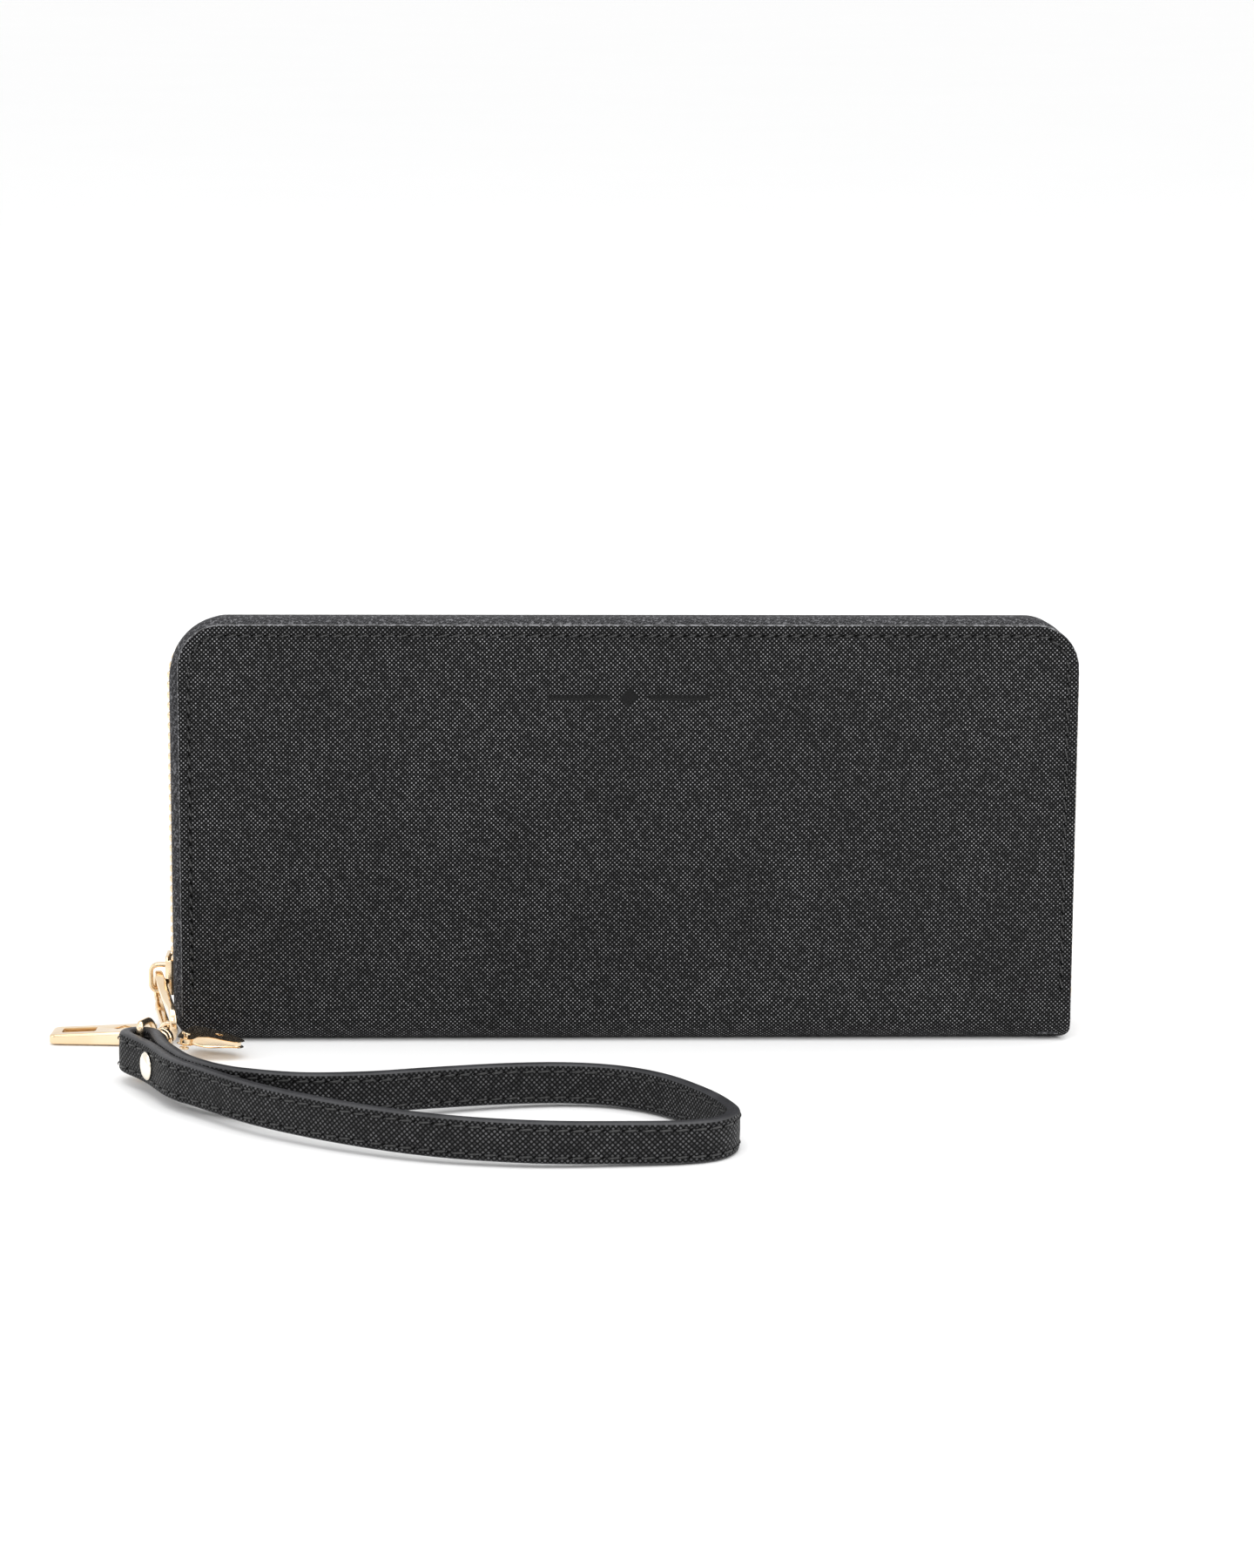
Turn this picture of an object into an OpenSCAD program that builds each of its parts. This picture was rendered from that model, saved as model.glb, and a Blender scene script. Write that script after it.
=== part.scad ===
// Long zip around wallet standing on its spine, with a clip-on wrist strap.
// Millimetres. X runs along the spine, -Y is the front cover, +Z points to the zip.
// The origin is the middle of the flat underside of the spine.

/* [Shown] */
// Which sub-part to draw
// Smoothness of round shapes
$fn = 64; // [24:8:128]

/* [Wallet body] */
// Width of the closed wallet
body_w = 200; // [180:1:220]
// Height of the covers above the table
body_h = 95; // [85:1:110]
// Thickness of the closed wallet
body_t = 25; // [22:0.5:34]
// Radius of the two corners beside the zip
top_r = 10; // [4:0.5:18]
// Radius of the two corners beside the spine
low_r = 4.5; // [2:0.5:6]
// Radius of the roll from each cover into the spine
roll_r = 5.5; // [4:0.5:8]
// Thickness of the outer leather
skin_t = 1.2; // [0.8:0.1:2]
// Thickness of the stiffening board
board_t = 0.75; // [0.4:0.05:1.5]
// Thickness of the lining cloth
lining_t = 0.4; // [0.2:0.05:0.8]
// Height above the table of the line the front cover folds on
fold_z = 6.9; // [6.5:0.1:9]

/* [Card panels] */
// Thickness of one layer of a card panel
card_t = 0.4; // [0.3:0.05:0.8]
// Top of the lowest card slot
slot_top = 44; // [30:1:60]
// Step between neighbouring card slots
slot_step = 13; // [8:1:16]

/* [Coin pocket] */
// Height of the top of the coin pocket walls
coin_h = 72; // [55:1:76]
// Width of the coin pocket
coin_w = 184; // [150:1:186]
// Outside thickness of the coin pocket
coin_t = 6.9; // [6:0.1:8]
// Thickness of a coin pocket wall
wall_t = 0.6; // [0.4:0.05:1]

/* [Main zip] */
// Outer face of the teeth on the slider side
zip_left = 103; // [101:0.1:105]
// Outer face of the teeth on the other side
zip_right = 101.3; // [100:0.1:104]
// Outer face of the teeth along the top
zip_top = 95.2; // [94:0.1:98]
// Distance between neighbouring teeth of one row
tooth_pitch = 2.33; // [1.5:0.01:3]
// Thickness of a tooth through the tape
tooth_t = 2.4; // [1.5:0.1:3]
// Thickness of the woven tape
tape_t = 0.7; // [0.4:0.05:1]

/* [Metal fittings] */
// Lower end of the parked slider
slider_z = 7.8; // [7:0.1:12]
// Length of the slider body
slider_l = 10; // [8:0.5:14]
// Thickness of the wire of the carrier ring
ring_wire = 1.6; // [1.4:0.1:2.4]
// Length of the bar puller beyond its eye
puller_l = 23.5; // [18:0.5:36]
// Width of the bar puller
puller_w = 8; // [6:0.5:12]
// Thickness of the bar puller
puller_t = 3; // [2:0.1:4]

/* [Wrist strap] */
// Width of the strap
strap_w = 8.8; // [6:0.1:14]
// Thickness of the strap
strap_t = 3; // [2:0.1:4]
// Diameter of the rivet head
rivet_d = 6.2; // [4:0.1:9]

/* [Hidden] */
leather = [0.13, 0.13, 0.14];
lining = [0.22, 0.22, 0.24];
cloth = [0.16, 0.16, 0.17];
gold = [0.86, 0.72, 0.5];
card_board = [0.55, 0.52, 0.48];

half_w = body_w / 2;
half_t = body_t / 2;
gap = 0.05;
board_y = skin_t + gap;
lining_y = board_y + board_t + gap;
inner_y = lining_y + lining_t;
card_y = inner_y + 0.1;
card_step = card_t + gap;
cover_low = 9;
hinge_y = half_t - skin_t / 2;

row_in = 3;
row_head = 0.65;
tape_off = (tooth_t - tape_t) / 2;
zip_r = top_r + 1;
tape_low = 7.5;
tooth_w = 1.3;
rail_w = 0.4;
teeth_from = slider_z + slider_l + 1;

coin_pitch = 1.5;
coin_row_in = 1.7;
coin_head = 0.45;
coin_tooth_t = 1.6;
coin_tape_t = 0.5;
coin_zip_z = coin_h + 0.1;
coin_slider_x = -78;

plate_t = 0.9;
play = 0.3;
slider_x = -zip_left - play - plate_t;
bridge_gap = 3;
bridge_t = 1;
leg_z = slider_z + 0.6;
leg_t = 1.4;
bridge_h = 7.4;

// wrist strap eye, then the clasp axis that starts there
eye = [-106.8, -45.5, 7];
clasp_yaw = 75.5;
clasp_pitch = 4.5;
clasp_roll = 8;
eye_half = 5.7;
eye_run = 4.2;
barrel_x = 12.2;
bow_x = 28;
bow_out = 4.9;
bow_in = 2.8;
hook_t = 3;
lever_x = 17.8;
lever_y = -4.5;
hold_x = 26.8;
hold_y = 1.4;

// carrier ring: from the bridge leg down to the bow of the clasp
ring_r = 3.5;
ring_w = ring_wire / 2;
ring_far = [slider_x - bridge_gap / 2 - 0.9, 2.6, 10.4];
along = [cos(clasp_yaw), sin(clasp_yaw)];
aside = [-sin(clasp_yaw), cos(clasp_yaw)];
ring_near = [
  eye[0] + hold_x * along[0] + hold_y * aside[0],
  eye[1] + hold_x * along[1] + hold_y * aside[1],
  4.9
];
ring_run = ring_near - ring_far;
ring_len = norm(ring_run);
ring_yaw = atan2(ring_run[1], ring_run[0]);
ring_pitch = asin(-ring_run[2] / ring_len);

// bar puller: its eye sits round the lower side of the carrier ring
puller_y = -12.6;
puller_share = (puller_y - ring_far[1]) / ring_run[1];
puller_eye = [
  ring_far[0] + puller_share * ring_run[0],
  puller_y,
  ring_far[2] + puller_share * ring_run[2] - ring_r - 0.1
];
puller_yaw = 176;
puller_bore = 1.35;
puller_eye_r = 2.1;
puller_eye_t = 1.3;

// wrist strap: the doubled end, then the open loop lying on the table
strap_yaw = -65.5;
strap_lift = 2.55;
strap_far = 20;
strap_tilt = atan(strap_lift / (strap_far - eye[0]));
fold_r = 1.6 + strap_t / 2;
heading = [cos(strap_yaw), sin(strap_yaw)];
across = [-sin(strap_yaw), cos(strap_yaw)];
rivet_s = 12.5;
loop_route = [
  [-93, -73.5], [-79, -88], [-61, -100.5], [-42, -109], [-22, -112.6], [-3, -112],
  [9, -110.6], [15.8, -107.4], [18.9, -101], [17.6, -94], [13.4, -85], [6, -74.8],
  [-3, -68.6], [-14, -66.4], [-27, -67.8], [-43, -72.2], [-57, -76.6], [-71, -78.2],
  [-83, -75.4]
];

// ---------- shared shapes ----------

// profile in X and Z pushed along Y from y0 to y1
module slab(y0, y1) {
  translate([0, y1, 0])
    rotate([90, 0, 0])
      linear_extrude(height = y1 - y0)
        children();
}

// profile in Y and Z pushed along X from x0 to x1
module bar_x(x0, x1) {
  translate([x0, 0, 0])
    rotate([90, 0, 90])
      linear_extrude(height = x1 - x0)
        children();
}

// rounded outline given by its left, right, lower and upper sides
module outline(x0, x1, z0, z1, r_low, r_top) {
  translate([x0, z0 + r_low])
    square([x1 - x0, z1 - z0 - r_low - r_top]);
  translate([x0 + r_top, z1 - r_top - 1])
    square([x1 - x0 - 2 * r_top, r_top + 1]);
  translate([x0 + r_low, z0])
    square([x1 - x0 - 2 * r_low, r_low + 1]);
  for (x = [x0 + r_top, x1 - r_top])
    translate([x, z1 - r_top])
      circle(r = r_top);
  for (x = [x0 + r_low, x1 - r_low])
    translate([x, z0 + r_low])
      circle(r = r_low);
}

// a cover outline set in from the edge of the leather
module cover_outline(inset = 0) {
  outline(-half_w + inset, half_w - inset, inset, body_h - inset,
    max(low_r - inset, 0.6), max(top_r - inset, 1));
}

module above(z) {
  intersection() {
    children();
    translate([-2 * body_w, z])
      square([4 * body_w, 3 * body_h]);
  }
}

// cross-section of everything inside the leather, set in by i
module trough(i) {
  translate([-half_t + i, roll_r])
    square([body_t - 2 * i, body_h + 5]);
  translate([-half_t + roll_r, i])
    square([body_t - 2 * roll_r, roll_r + 1]);
  for (s = [-1, 1])
    translate([s * (half_t - roll_r), roll_r])
      circle(r = roll_r - i);
}

module shell(i0, i1) {
  difference() {
    trough(i0);
    trough(i1);
  }
}

// one flat layer of a cover: side -1 is the front, 1 the back
module layer(side, depth, t, inset, low) {
  y = side * (half_t - depth - t / 2);
  slab(y - t / 2, y + t / 2)
    above(low)
      cover_outline(inset);
}

// ---------- outer skin, boards and linings ----------

module ornament() {
  translate([0, -half_t, 78.8]) {
    rotate([0, 45, 0])
      cube([2.6, 0.5, 2.6], center = true);
    for (s = [-1, 1])
      translate([s * 11, 0, 0])
        cube([14, 0.5, 0.7], center = true);
  }
}

module spine_and_back_leather() {
  color(leather)
    intersection() {
      bar_x(-half_w, half_w)
        difference() {
          shell(0, skin_t);
          translate([-half_t - 1, fold_z - 0.9])
            square([half_t + 1, 2 * body_h]);
        }
      slab(-half_t - 1, half_t + 1)
        cover_outline();
    }
}

module spine_board() {
  color(card_board)
    translate([-half_w + 6, -half_t + roll_r, board_y])
      cube([body_w - 12, body_t - 2 * roll_r, board_t]);
}

module back_board() {
  color(card_board)
    layer(1, board_y, board_t, 6, cover_low);
}

module back_lining() {
  color(lining)
    intersection() {
      bar_x(-half_w + 4, half_w - 4)
        difference() {
          shell(lining_y, inner_y);
          translate([-half_t - 1, roll_r])
            square([half_t + 1, 2 * body_h]);
        }
      slab(-half_t, half_t)
        outline(-half_w + 4, half_w - 4, 1, body_h - 4, 3, 6);
    }
}

module front_leather() {
  color(leather)
    difference() {
      union() {
        layer(-1, 0, skin_t, 0, fold_z);
        translate([-half_w, -hinge_y, fold_z])
          rotate([0, 90, 0])
            cylinder(h = body_w, d = skin_t);
      }
      ornament();
    }
}

module front_board() {
  color(card_board)
    layer(-1, board_y, board_t, 6, cover_low);
}

module front_lining() {
  color(lining)
    layer(-1, lining_y, lining_t, 4, cover_low - 1);
}

// ---------- card panels ----------

module card_backing(side) {
  color(lining)
    layer(side, card_y, card_t, 5.5, cover_low);
}

// step 1 is next to the backing and the tallest, 3 faces the notes
module card_slot(side, step) {
  depth = card_y + step * card_step;
  y = side * (half_t - depth - card_t / 2);
  top = slot_top + (3 - step) * slot_step;
  color(leather)
    slab(y - card_t / 2, y + card_t / 2)
      outline(-half_w + 7, half_w - 7, cover_low, top, 1, 2);
}

// ---------- main zip ----------

// outline of the zip chain, set in from the outer face of the teeth
module zip_outline(off) {
  outline(-zip_left + off, zip_right - off, tape_low - 20, zip_top - off, 1, zip_r - off);
}

module zip_tape(side) {
  color(cloth) {
    slab(min(side * row_in, side * (half_t - board_y)) + (side > 0 ? gap : 0),
      max(side * row_in, side * (half_t - board_y)) - (side < 0 ? gap : 0))
      above(tape_low)
        difference() {
          zip_outline(tape_off);
          zip_outline(tape_off + tape_t);
        }
    slab(min(side * (half_t - board_y - 0.5), side * (half_t - board_y)),
      max(side * (half_t - board_y - 0.5), side * (half_t - board_y)))
      above(tape_low)
        difference() {
          zip_outline(tape_off);
          cover_outline(5.6);
        }
  }
}

// comb of teeth on a straight rail, in the plane of the tape
function comb(len, first, pitch, w, y_rail, y_back, y_head) =
  let (count = floor((len - first - w / 2) / pitch))
  concat(
    [[0, y_rail], [len, y_rail], [len, y_back]],
    [for (i = [count : -1 : 0], k = [0 : 3])
      [first + i * pitch + (k < 2 ? w / 2 : -w / 2), k == 0 || k == 3 ? y_back : y_head]],
    [[0, y_back]]
  );

module zip_corner(side, first) {
  rail = side * (row_in - rail_w);
  lo = min(side * (row_in - 0.1), side * row_head);
  hi = max(side * (row_in - 0.1), side * row_head);
  step = tooth_pitch / (zip_r - tooth_t / 2) * 180 / PI;
  wide = tooth_w / (zip_r - tooth_t / 2) * 180 / PI;
  rotate([0, 0, 0.5])
    rotate_extrude(angle = 89)
      translate([zip_r - tooth_t + 0.3, min(side * row_in, rail)])
        square([tooth_t - 0.6, rail_w]);
  for (i = [0 : 5])
    rotate([0, 0, first + i * step])
      rotate_extrude(angle = wide)
        translate([zip_r - tooth_t, lo])
          square([tooth_t, hi - lo]);
}

module zip_teeth(side) {
  shift = side < 0 ? 0.9 : 0.9 + tooth_pitch / 2;
  y_rail = side * row_in;
  y_back = side * (row_in - rail_w);
  y_head = side * row_head;
  up = zip_top - zip_r;
  color(gold) {
    translate([-zip_left, 0, teeth_from])
      rotate([0, -90, 180])
        linear_extrude(height = tooth_t)
          polygon(comb(up - teeth_from, shift, tooth_pitch, tooth_w, -y_rail, -y_back, -y_head));
    translate([-zip_left + zip_r, 0, zip_top - tooth_t])
      linear_extrude(height = tooth_t)
        polygon(comb(zip_left + zip_right - 2 * zip_r, shift, tooth_pitch, tooth_w,
          y_rail, y_back, y_head));
    translate([zip_right, 0, tape_low + 3])
      rotate([0, -90, 0])
        linear_extrude(height = tooth_t)
          polygon(comb(up - tape_low - 3, shift, tooth_pitch, tooth_w, y_rail, y_back, y_head));
    translate([-zip_left + zip_r, 0, up])
      rotate([90, 0, 180])
        zip_corner(side, 6);
    translate([zip_right - zip_r, 0, up])
      rotate([90, 0, 0])
        zip_corner(-side, 6);
  }
}

module zip_stops(side) {
  y0 = side < 0 ? -row_in : row_head;
  color(gold)
    translate([zip_right - tooth_t, y0, tape_low + 0.4])
      cube([tooth_t, row_in - row_head, 2.4]);
}

// ---------- coin pocket ----------

module coin_wall(side) {
  y = side * (coin_t - wall_t) / 2;
  color(lining)
    slab(y - wall_t / 2, y + wall_t / 2)
      outline(-coin_w / 2, coin_w / 2, 4.6, coin_h, 3, 1);
}

module coin_pocket_side_band() {
  y = coin_t / 2 - wall_t - gap;
  color(lining)
    slab(-y, y)
      difference() {
        outline(-coin_w / 2, coin_w / 2, 4.6, coin_h - 2, 3, 1);
        translate([0, 1])
          outline(-coin_w / 2 + wall_t, coin_w / 2 - wall_t, 4.2, coin_h + 9, 2.4, 1);
      }
}

module coin_tape(side) {
  y0 = side < 0 ? -coin_t / 2 : coin_row_in + gap;
  color(cloth)
    translate([-coin_w / 2, y0, coin_zip_z])
      cube([coin_w, coin_t / 2 - coin_row_in - gap, coin_tape_t]);
}

module coin_teeth(side) {
  shift = side < 0 ? 0.6 : 0.6 + coin_pitch / 2;
  y_rail = side * coin_row_in;
  color(gold)
    translate([-coin_w / 2 + 6, 0, coin_zip_z + coin_tape_t / 2 - coin_tooth_t / 2])
      linear_extrude(height = coin_tooth_t)
        polygon(comb(coin_w - 12, shift, coin_pitch, 0.8, y_rail, side * (coin_row_in - 0.3),
          side * coin_head));
}

module coin_zip_stops() {
  color(gold)
    for (s = [-1, 1])
      translate([s * (coin_w / 2 - 4.5) - 0.8, -coin_row_in, coin_zip_z - 0.55])
        cube([1.6, 2 * coin_row_in, coin_tooth_t]);
}

module coin_zip_slider() {
  mid = coin_zip_z + coin_tape_t / 2;
  color(gold)
    translate([coin_slider_x, 0, mid]) {
      for (s = [-1, 1])
        translate([-4, -2.6, s * 1.35 - 0.3])
          cube([8, 5.2, 0.6]);
      for (s = [-1, 1], v = [-1, 1])
        translate([-4, s * 2.25 - 0.35, v > 0 ? 0.5 : -1.2])
          cube([8, 0.7, 0.7]);
      translate([-3.6, -0.25, -1.2])
        cube([1.4, 0.5, 2.4]);
      for (x = [-3.2, 2.4])
        translate([x, -0.8, 1.5])
          cube([0.8, 1.6, 2.4]);
      translate([-3.2, -0.8, 3.6])
        cube([6.4, 1.6, 0.8]);
    }
}

module coin_zip_puller() {
  color(gold)
    translate([coin_slider_x + 0.8, 0, coin_zip_z + coin_tape_t / 2 + 2.65]) {
      rotate([90, 0, 0])
        cylinder(h = 4.4, r = 0.5, center = true);
      for (s = [-1, 1])
        translate([0, s * 1.7 - 0.5, -0.5])
          cube([5, 1, 1]);
      translate([4.2, -2.2, -0.5])
        difference() {
          cube([11, 4.4, 1]);
          translate([8, 2.2, -1])
            cylinder(h = 3, r = 1);
        }
    }
}

// ---------- side gussets, folded in two ----------

module gusset(side_x, side_y, low) {
  y_in = coin_t / 2 + 0.3;
  y_out = half_t - card_y - 3 * card_step - card_t - 0.3;
  y_mid = (y_in + y_out) / 2;
  x_out = half_w - 4.5;
  x_in = half_w - 14;
  color(lining)
    translate([0, 0, low])
      linear_extrude(height = coin_h - 2 - low)
        polygon([
          [side_x * x_out, side_y * y_out],
          [side_x * x_out, side_y * (y_out - 0.5)],
          [side_x * (x_in + 1.6), side_y * y_mid],
          [side_x * x_out, side_y * (y_in + 0.5)],
          [side_x * x_out, side_y * y_in],
          [side_x * x_in, side_y * y_mid]
        ]);
}

// ---------- slider and bridge ----------

// slider plate seen from outside: wide at the lower, open end
module slider_plate() {
  polygon([
    [-3.4, 0], [3.4, 0], [4.3, 1.2], [4.3, 5], [3.9, slider_l - 0.8], [3.1, slider_l],
    [-3.1, slider_l], [-3.9, slider_l - 0.8], [-4.3, 5], [-4.3, 1.2]
  ]);
}

module slider_body() {
  inner_x = -zip_left + tooth_t + play;
  tape_x = -zip_left + tape_off;
  color(gold)
    translate([0, 0, slider_z]) {
      for (x = [slider_x, inner_x])
        bar_x(x, x + plate_t)
          slider_plate();
      for (s = [-1, 1]) {
        bar_x(slider_x, tape_x - play)
          intersection() {
            slider_plate();
            translate([s * 3.8 - 0.5, 0])
              square([1, slider_l]);
          }
        bar_x(tape_x + tape_t + play, inner_x + plate_t)
          intersection() {
            slider_plate();
            translate([s * 3.8 - 0.5, 0])
              square([1, slider_l]);
          }
      }
      translate([slider_x, -0.42, 0.3])
        cube([inner_x - slider_x + plate_t, 0.84, 2.6]);
    }
}

module slider_bridge() {
  out = slider_x - bridge_gap;
  color(gold)
    slab(-1.1, 1.1)
      difference() {
        translate([out - bridge_t, leg_z])
          union() {
            translate([2, 0])
              square([bridge_gap + bridge_t - 2 - gap, bridge_h]);
            translate([0, 2])
              square([3, bridge_h - 4]);
            for (z = [2, bridge_h - 2])
              translate([2, z])
                circle(r = 2);
          }
        translate([out + 0.8, leg_z + leg_t])
          square([bridge_gap, bridge_h - 2 * leg_t]);
        translate([out, leg_z + leg_t + 0.8])
          square([bridge_gap, bridge_h - 2 * leg_t - 1.6]);
        for (z = [leg_z + leg_t + 0.8, leg_z + bridge_h - leg_t - 0.8])
          translate([out + 0.8, z])
            circle(r = 0.8);
      }
}

// ---------- carrier ring and bar puller ----------

module carrier_ring() {
  run = ring_len - 2 * ring_r;
  color(gold)
    translate(ring_far)
      rotate([0, ring_pitch, ring_yaw])
        translate([ring_r, 0, 0]) {
          for (s = [-1, 1])
            translate([0, 0, s * ring_r])
              rotate([0, 90, 0])
                cylinder(h = run, r = ring_w);
          rotate([90, -90, 0])
            rotate_extrude(angle = 180)
              translate([ring_r, 0])
                circle(r = ring_w);
          translate([run, 0, 0])
            rotate([90, 90, 0])
              rotate_extrude(angle = 180)
                translate([ring_r, 0])
                  circle(r = ring_w);
        }
}

module bar_puller() {
  low = 0.25 - puller_eye[2];
  color(gold)
    translate(puller_eye)
      rotate([0, 0, puller_yaw])
        difference() {
          union() {
            rotate([90, 0, 0])
              cylinder(h = puller_eye_t, r = puller_eye_r, center = true);
            translate([1, -puller_eye_t / 2, low])
              cube([4, puller_eye_t, puller_t]);
            translate([2.9, 0, low])
              linear_extrude(height = puller_t)
                outline(0, puller_l, -puller_w / 2, puller_w / 2, 1.4, 1.4);
          }
          rotate([90, 0, 0])
            cylinder(h = 3, r = puller_bore, center = true);
          translate([2.9 + puller_l - 10.2, 0, low - 1])
            linear_extrude(height = puller_t + 2)
              outline(0, 7.6, -puller_w / 2 + 2, puller_w / 2 - 2, 0.6, 0.6);
          translate([2.9 + puller_l - 16.4, 0, low + puller_t - 0.3])
            rotate([0, 0, 45])
              translate([-1.7, -1.7, 0])
                cube([3.4, 3.4, 1]);
        }
}

// ---------- swivel clasp ----------

module clasp_frame(roll) {
  translate(eye)
    rotate([0, clasp_pitch, clasp_yaw])
      rotate([roll, 0, 0])
        children();
}

module clasp_swivel_eye() {
  w = 0.8;
  color(gold)
    clasp_frame(0) {
      cylinder(h = 2 * eye_half, r = w, center = true);
      for (s = [-1, 1]) {
        translate([0, 0, s * eye_half])
          sphere(r = w);
        translate([0, 0, s * eye_half])
          rotate([0, 90, 0])
            cylinder(h = eye_run, r = w);
      }
      translate([eye_run, 0, 0])
        rotate([90, 90, 0])
          rotate_extrude(angle = 180)
            translate([eye_half, 0])
              circle(r = w);
      translate([eye_run + eye_half, 0, 0])
        rotate([0, 90, 0])
          cylinder(h = barrel_x + 2.4 - eye_run - eye_half, r = 1);
      translate([barrel_x + 1.3, 0, 0])
        rotate([0, 90, 0])
          cylinder(h = 1.4, r = 1.6);
    }
}

module clasp_body() {
  color(gold)
    clasp_frame(clasp_roll) {
      difference() {
        translate([barrel_x, 0, 0])
          rotate([0, 90, 0])
            cylinder(h = 4.6, r = 2.5);
        translate([barrel_x - 1, 0, 0])
          rotate([0, 90, 0])
            cylinder(h = 3, r = 1.25);
        translate([barrel_x + 1, 0, 0])
          rotate([0, 90, 0])
            cylinder(h = 2.1, r = 1.9);
      }
      difference() {
        translate([0, 0, -hook_t / 2])
          linear_extrude(height = hook_t)
            difference() {
              union() {
                translate([barrel_x + 3.6, -bow_out + 0.2])
                  square([3.2, 2 * bow_out - 0.2]);
                translate([barrel_x + 5, bow_in])
                  square([bow_x - barrel_x - 5, bow_out - bow_in]);
                translate([bow_x, 0])
                  circle(r = bow_out);
              }
              translate([bow_x, 0])
                circle(r = bow_in);
              translate([barrel_x + 6.8, -bow_in])
                square([bow_x - barrel_x - 6.8, 2 * bow_in]);
              translate([barrel_x + 6.8, -bow_out - 1])
                square([bow_x - barrel_x - 5.2, bow_out + 1]);
            }
        translate([lever_x, lever_y, -0.95])
          linear_extrude(height = 1.9)
            union() {
              circle(r = 1.6);
              translate([-0.8, -3])
                square([4, 4.6]);
            }
        translate([lever_x, lever_y, -3])
          cylinder(h = 6, r = 0.55);
      }
    }
}

module clasp_lever() {
  color(gold)
    clasp_frame(clasp_roll)
      translate([lever_x, lever_y, 0])
        difference() {
          union() {
            cylinder(h = 1.5, r = 1.3, center = true);
            translate([0, -1.1, -0.75])
              cube([3, 2.2, 1.5]);
            translate([1.6, -1.1, -1.3])
              cube([8.9, 2.2, 2.6]);
            translate([4.2, -4.2, -1.3])
              cube([4.6, 4, 2.6]);
            translate([6.5, -4.2, -1.3])
              cylinder(h = 2.6, r = 2.3);
          }
          cylinder(h = 4, r = 0.6, center = true);
          translate([6.5, -4.2, -3])
            cylinder(h = 6, r = 0.9);
        }
}

module clasp_lever_pin() {
  color(gold)
    clasp_frame(clasp_roll)
      translate([lever_x, lever_y, 0]) {
        cylinder(h = 3.4, r = 0.5, center = true);
        for (s = [-1, 1])
          translate([0, 0, s * 1.8])
            cylinder(h = 0.5, r = 1, center = true);
      }
}

module clasp_spring() {
  color([0.75, 0.75, 0.78])
    clasp_frame(clasp_roll)
      translate([lever_x + 1.6, lever_y + 1.25, -0.3])
        cube([0.9, 0.5, 0.6]);
}

// ---------- wrist strap ----------

function spot(s, side) = [
  eye[0] + s * heading[0] + side * across[0],
  eye[1] + s * heading[1] + side * across[1]
];

// points of the doubled end as [distance from the eye, distance off its centre line]
doubled_front = [
  [2.2, -2.95], [5, -2.4], [8.5, -1.85], [12.5, -1.57], [17, -1.58], [22, -1.5], [27, -0.6]
];
doubled_back = [
  [32, 5.4], [27, 3.2], [22, 1.85], [17, 1.58], [12.5, 1.57], [8.5, 1.85], [5, 2.4], [2.2, 2.95]
];
route = concat(
  [for (a = [90 : 36 : 270]) spot(fold_r * cos(a), fold_r * sin(a))],
  [for (p = doubled_front) spot(p[0], p[1])],
  loop_route,
  [for (p = doubled_back) spot(p[0], p[1])]
);
stops = len(route);

function knot(i) = route[(i + stops) % stops];
function bend(a, b, c, d, t) =
  0.5 * (2 * b + (c - a) * t + (2 * a - 5 * b + 4 * c - d) * t * t
    + (3 * b - a - 3 * c + d) * t * t * t);
steps = 4;
path = [for (i = [0 : stops - 1], k = [0 : steps - 1])
  bend(knot(i - 1), knot(i), knot(i + 1), knot(i + 2), k / steps)];
path_n = len(path);
function side_of(i, off) =
  let (d = path[(i + 1) % path_n] - path[(i + path_n - 1) % path_n], n = norm(d))
  path[i] + off / n * [d[1], -d[0]];

module strap_band(off_in, off_out) {
  translate([0, 0, strap_lift * strap_far / (strap_far - eye[0])])
    rotate([0, strap_tilt, 0])
      difference() {
        linear_extrude(height = strap_w)
          difference() {
            polygon([for (i = [0 : path_n - 1]) side_of(i, off_out)]);
            polygon([for (i = [0 : path_n - 1]) side_of(i, off_in)]);
          }
        translate([spot(rivet_s, 0)[0], spot(rivet_s, 0)[1], strap_w / 2])
          rotate([90, 0, strap_yaw])
            cylinder(h = 12, r = 1.25, center = true);
      }
}

module strap_outer_leather() {
  color(leather)
    strap_band(0.03, strap_t / 2);
}

module strap_inner_leather() {
  color(leather)
    strap_band(-strap_t / 2, -0.03);
}

module strap_rivet() {
  reach = strap_t + 0.25;
  color(gold)
    translate([0, 0, strap_lift * strap_far / (strap_far - eye[0])])
      rotate([0, strap_tilt, 0])
        translate([spot(rivet_s, 0)[0], spot(rivet_s, 0)[1], strap_w / 2])
          rotate([90, 0, strap_yaw]) {
            cylinder(h = 2 * reach, r = 1.2, center = true);
            intersection() {
              translate([0, 0, reach + 0.9 - 7])
                sphere(r = 7);
              translate([0, 0, reach])
                cylinder(h = 3, d = rivet_d);
            }
            translate([0, 0, -reach - 0.6])
              cylinder(h = 0.6, d = rivet_d - 1.2);
          }
}

// ---------- assembly ----------

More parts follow.
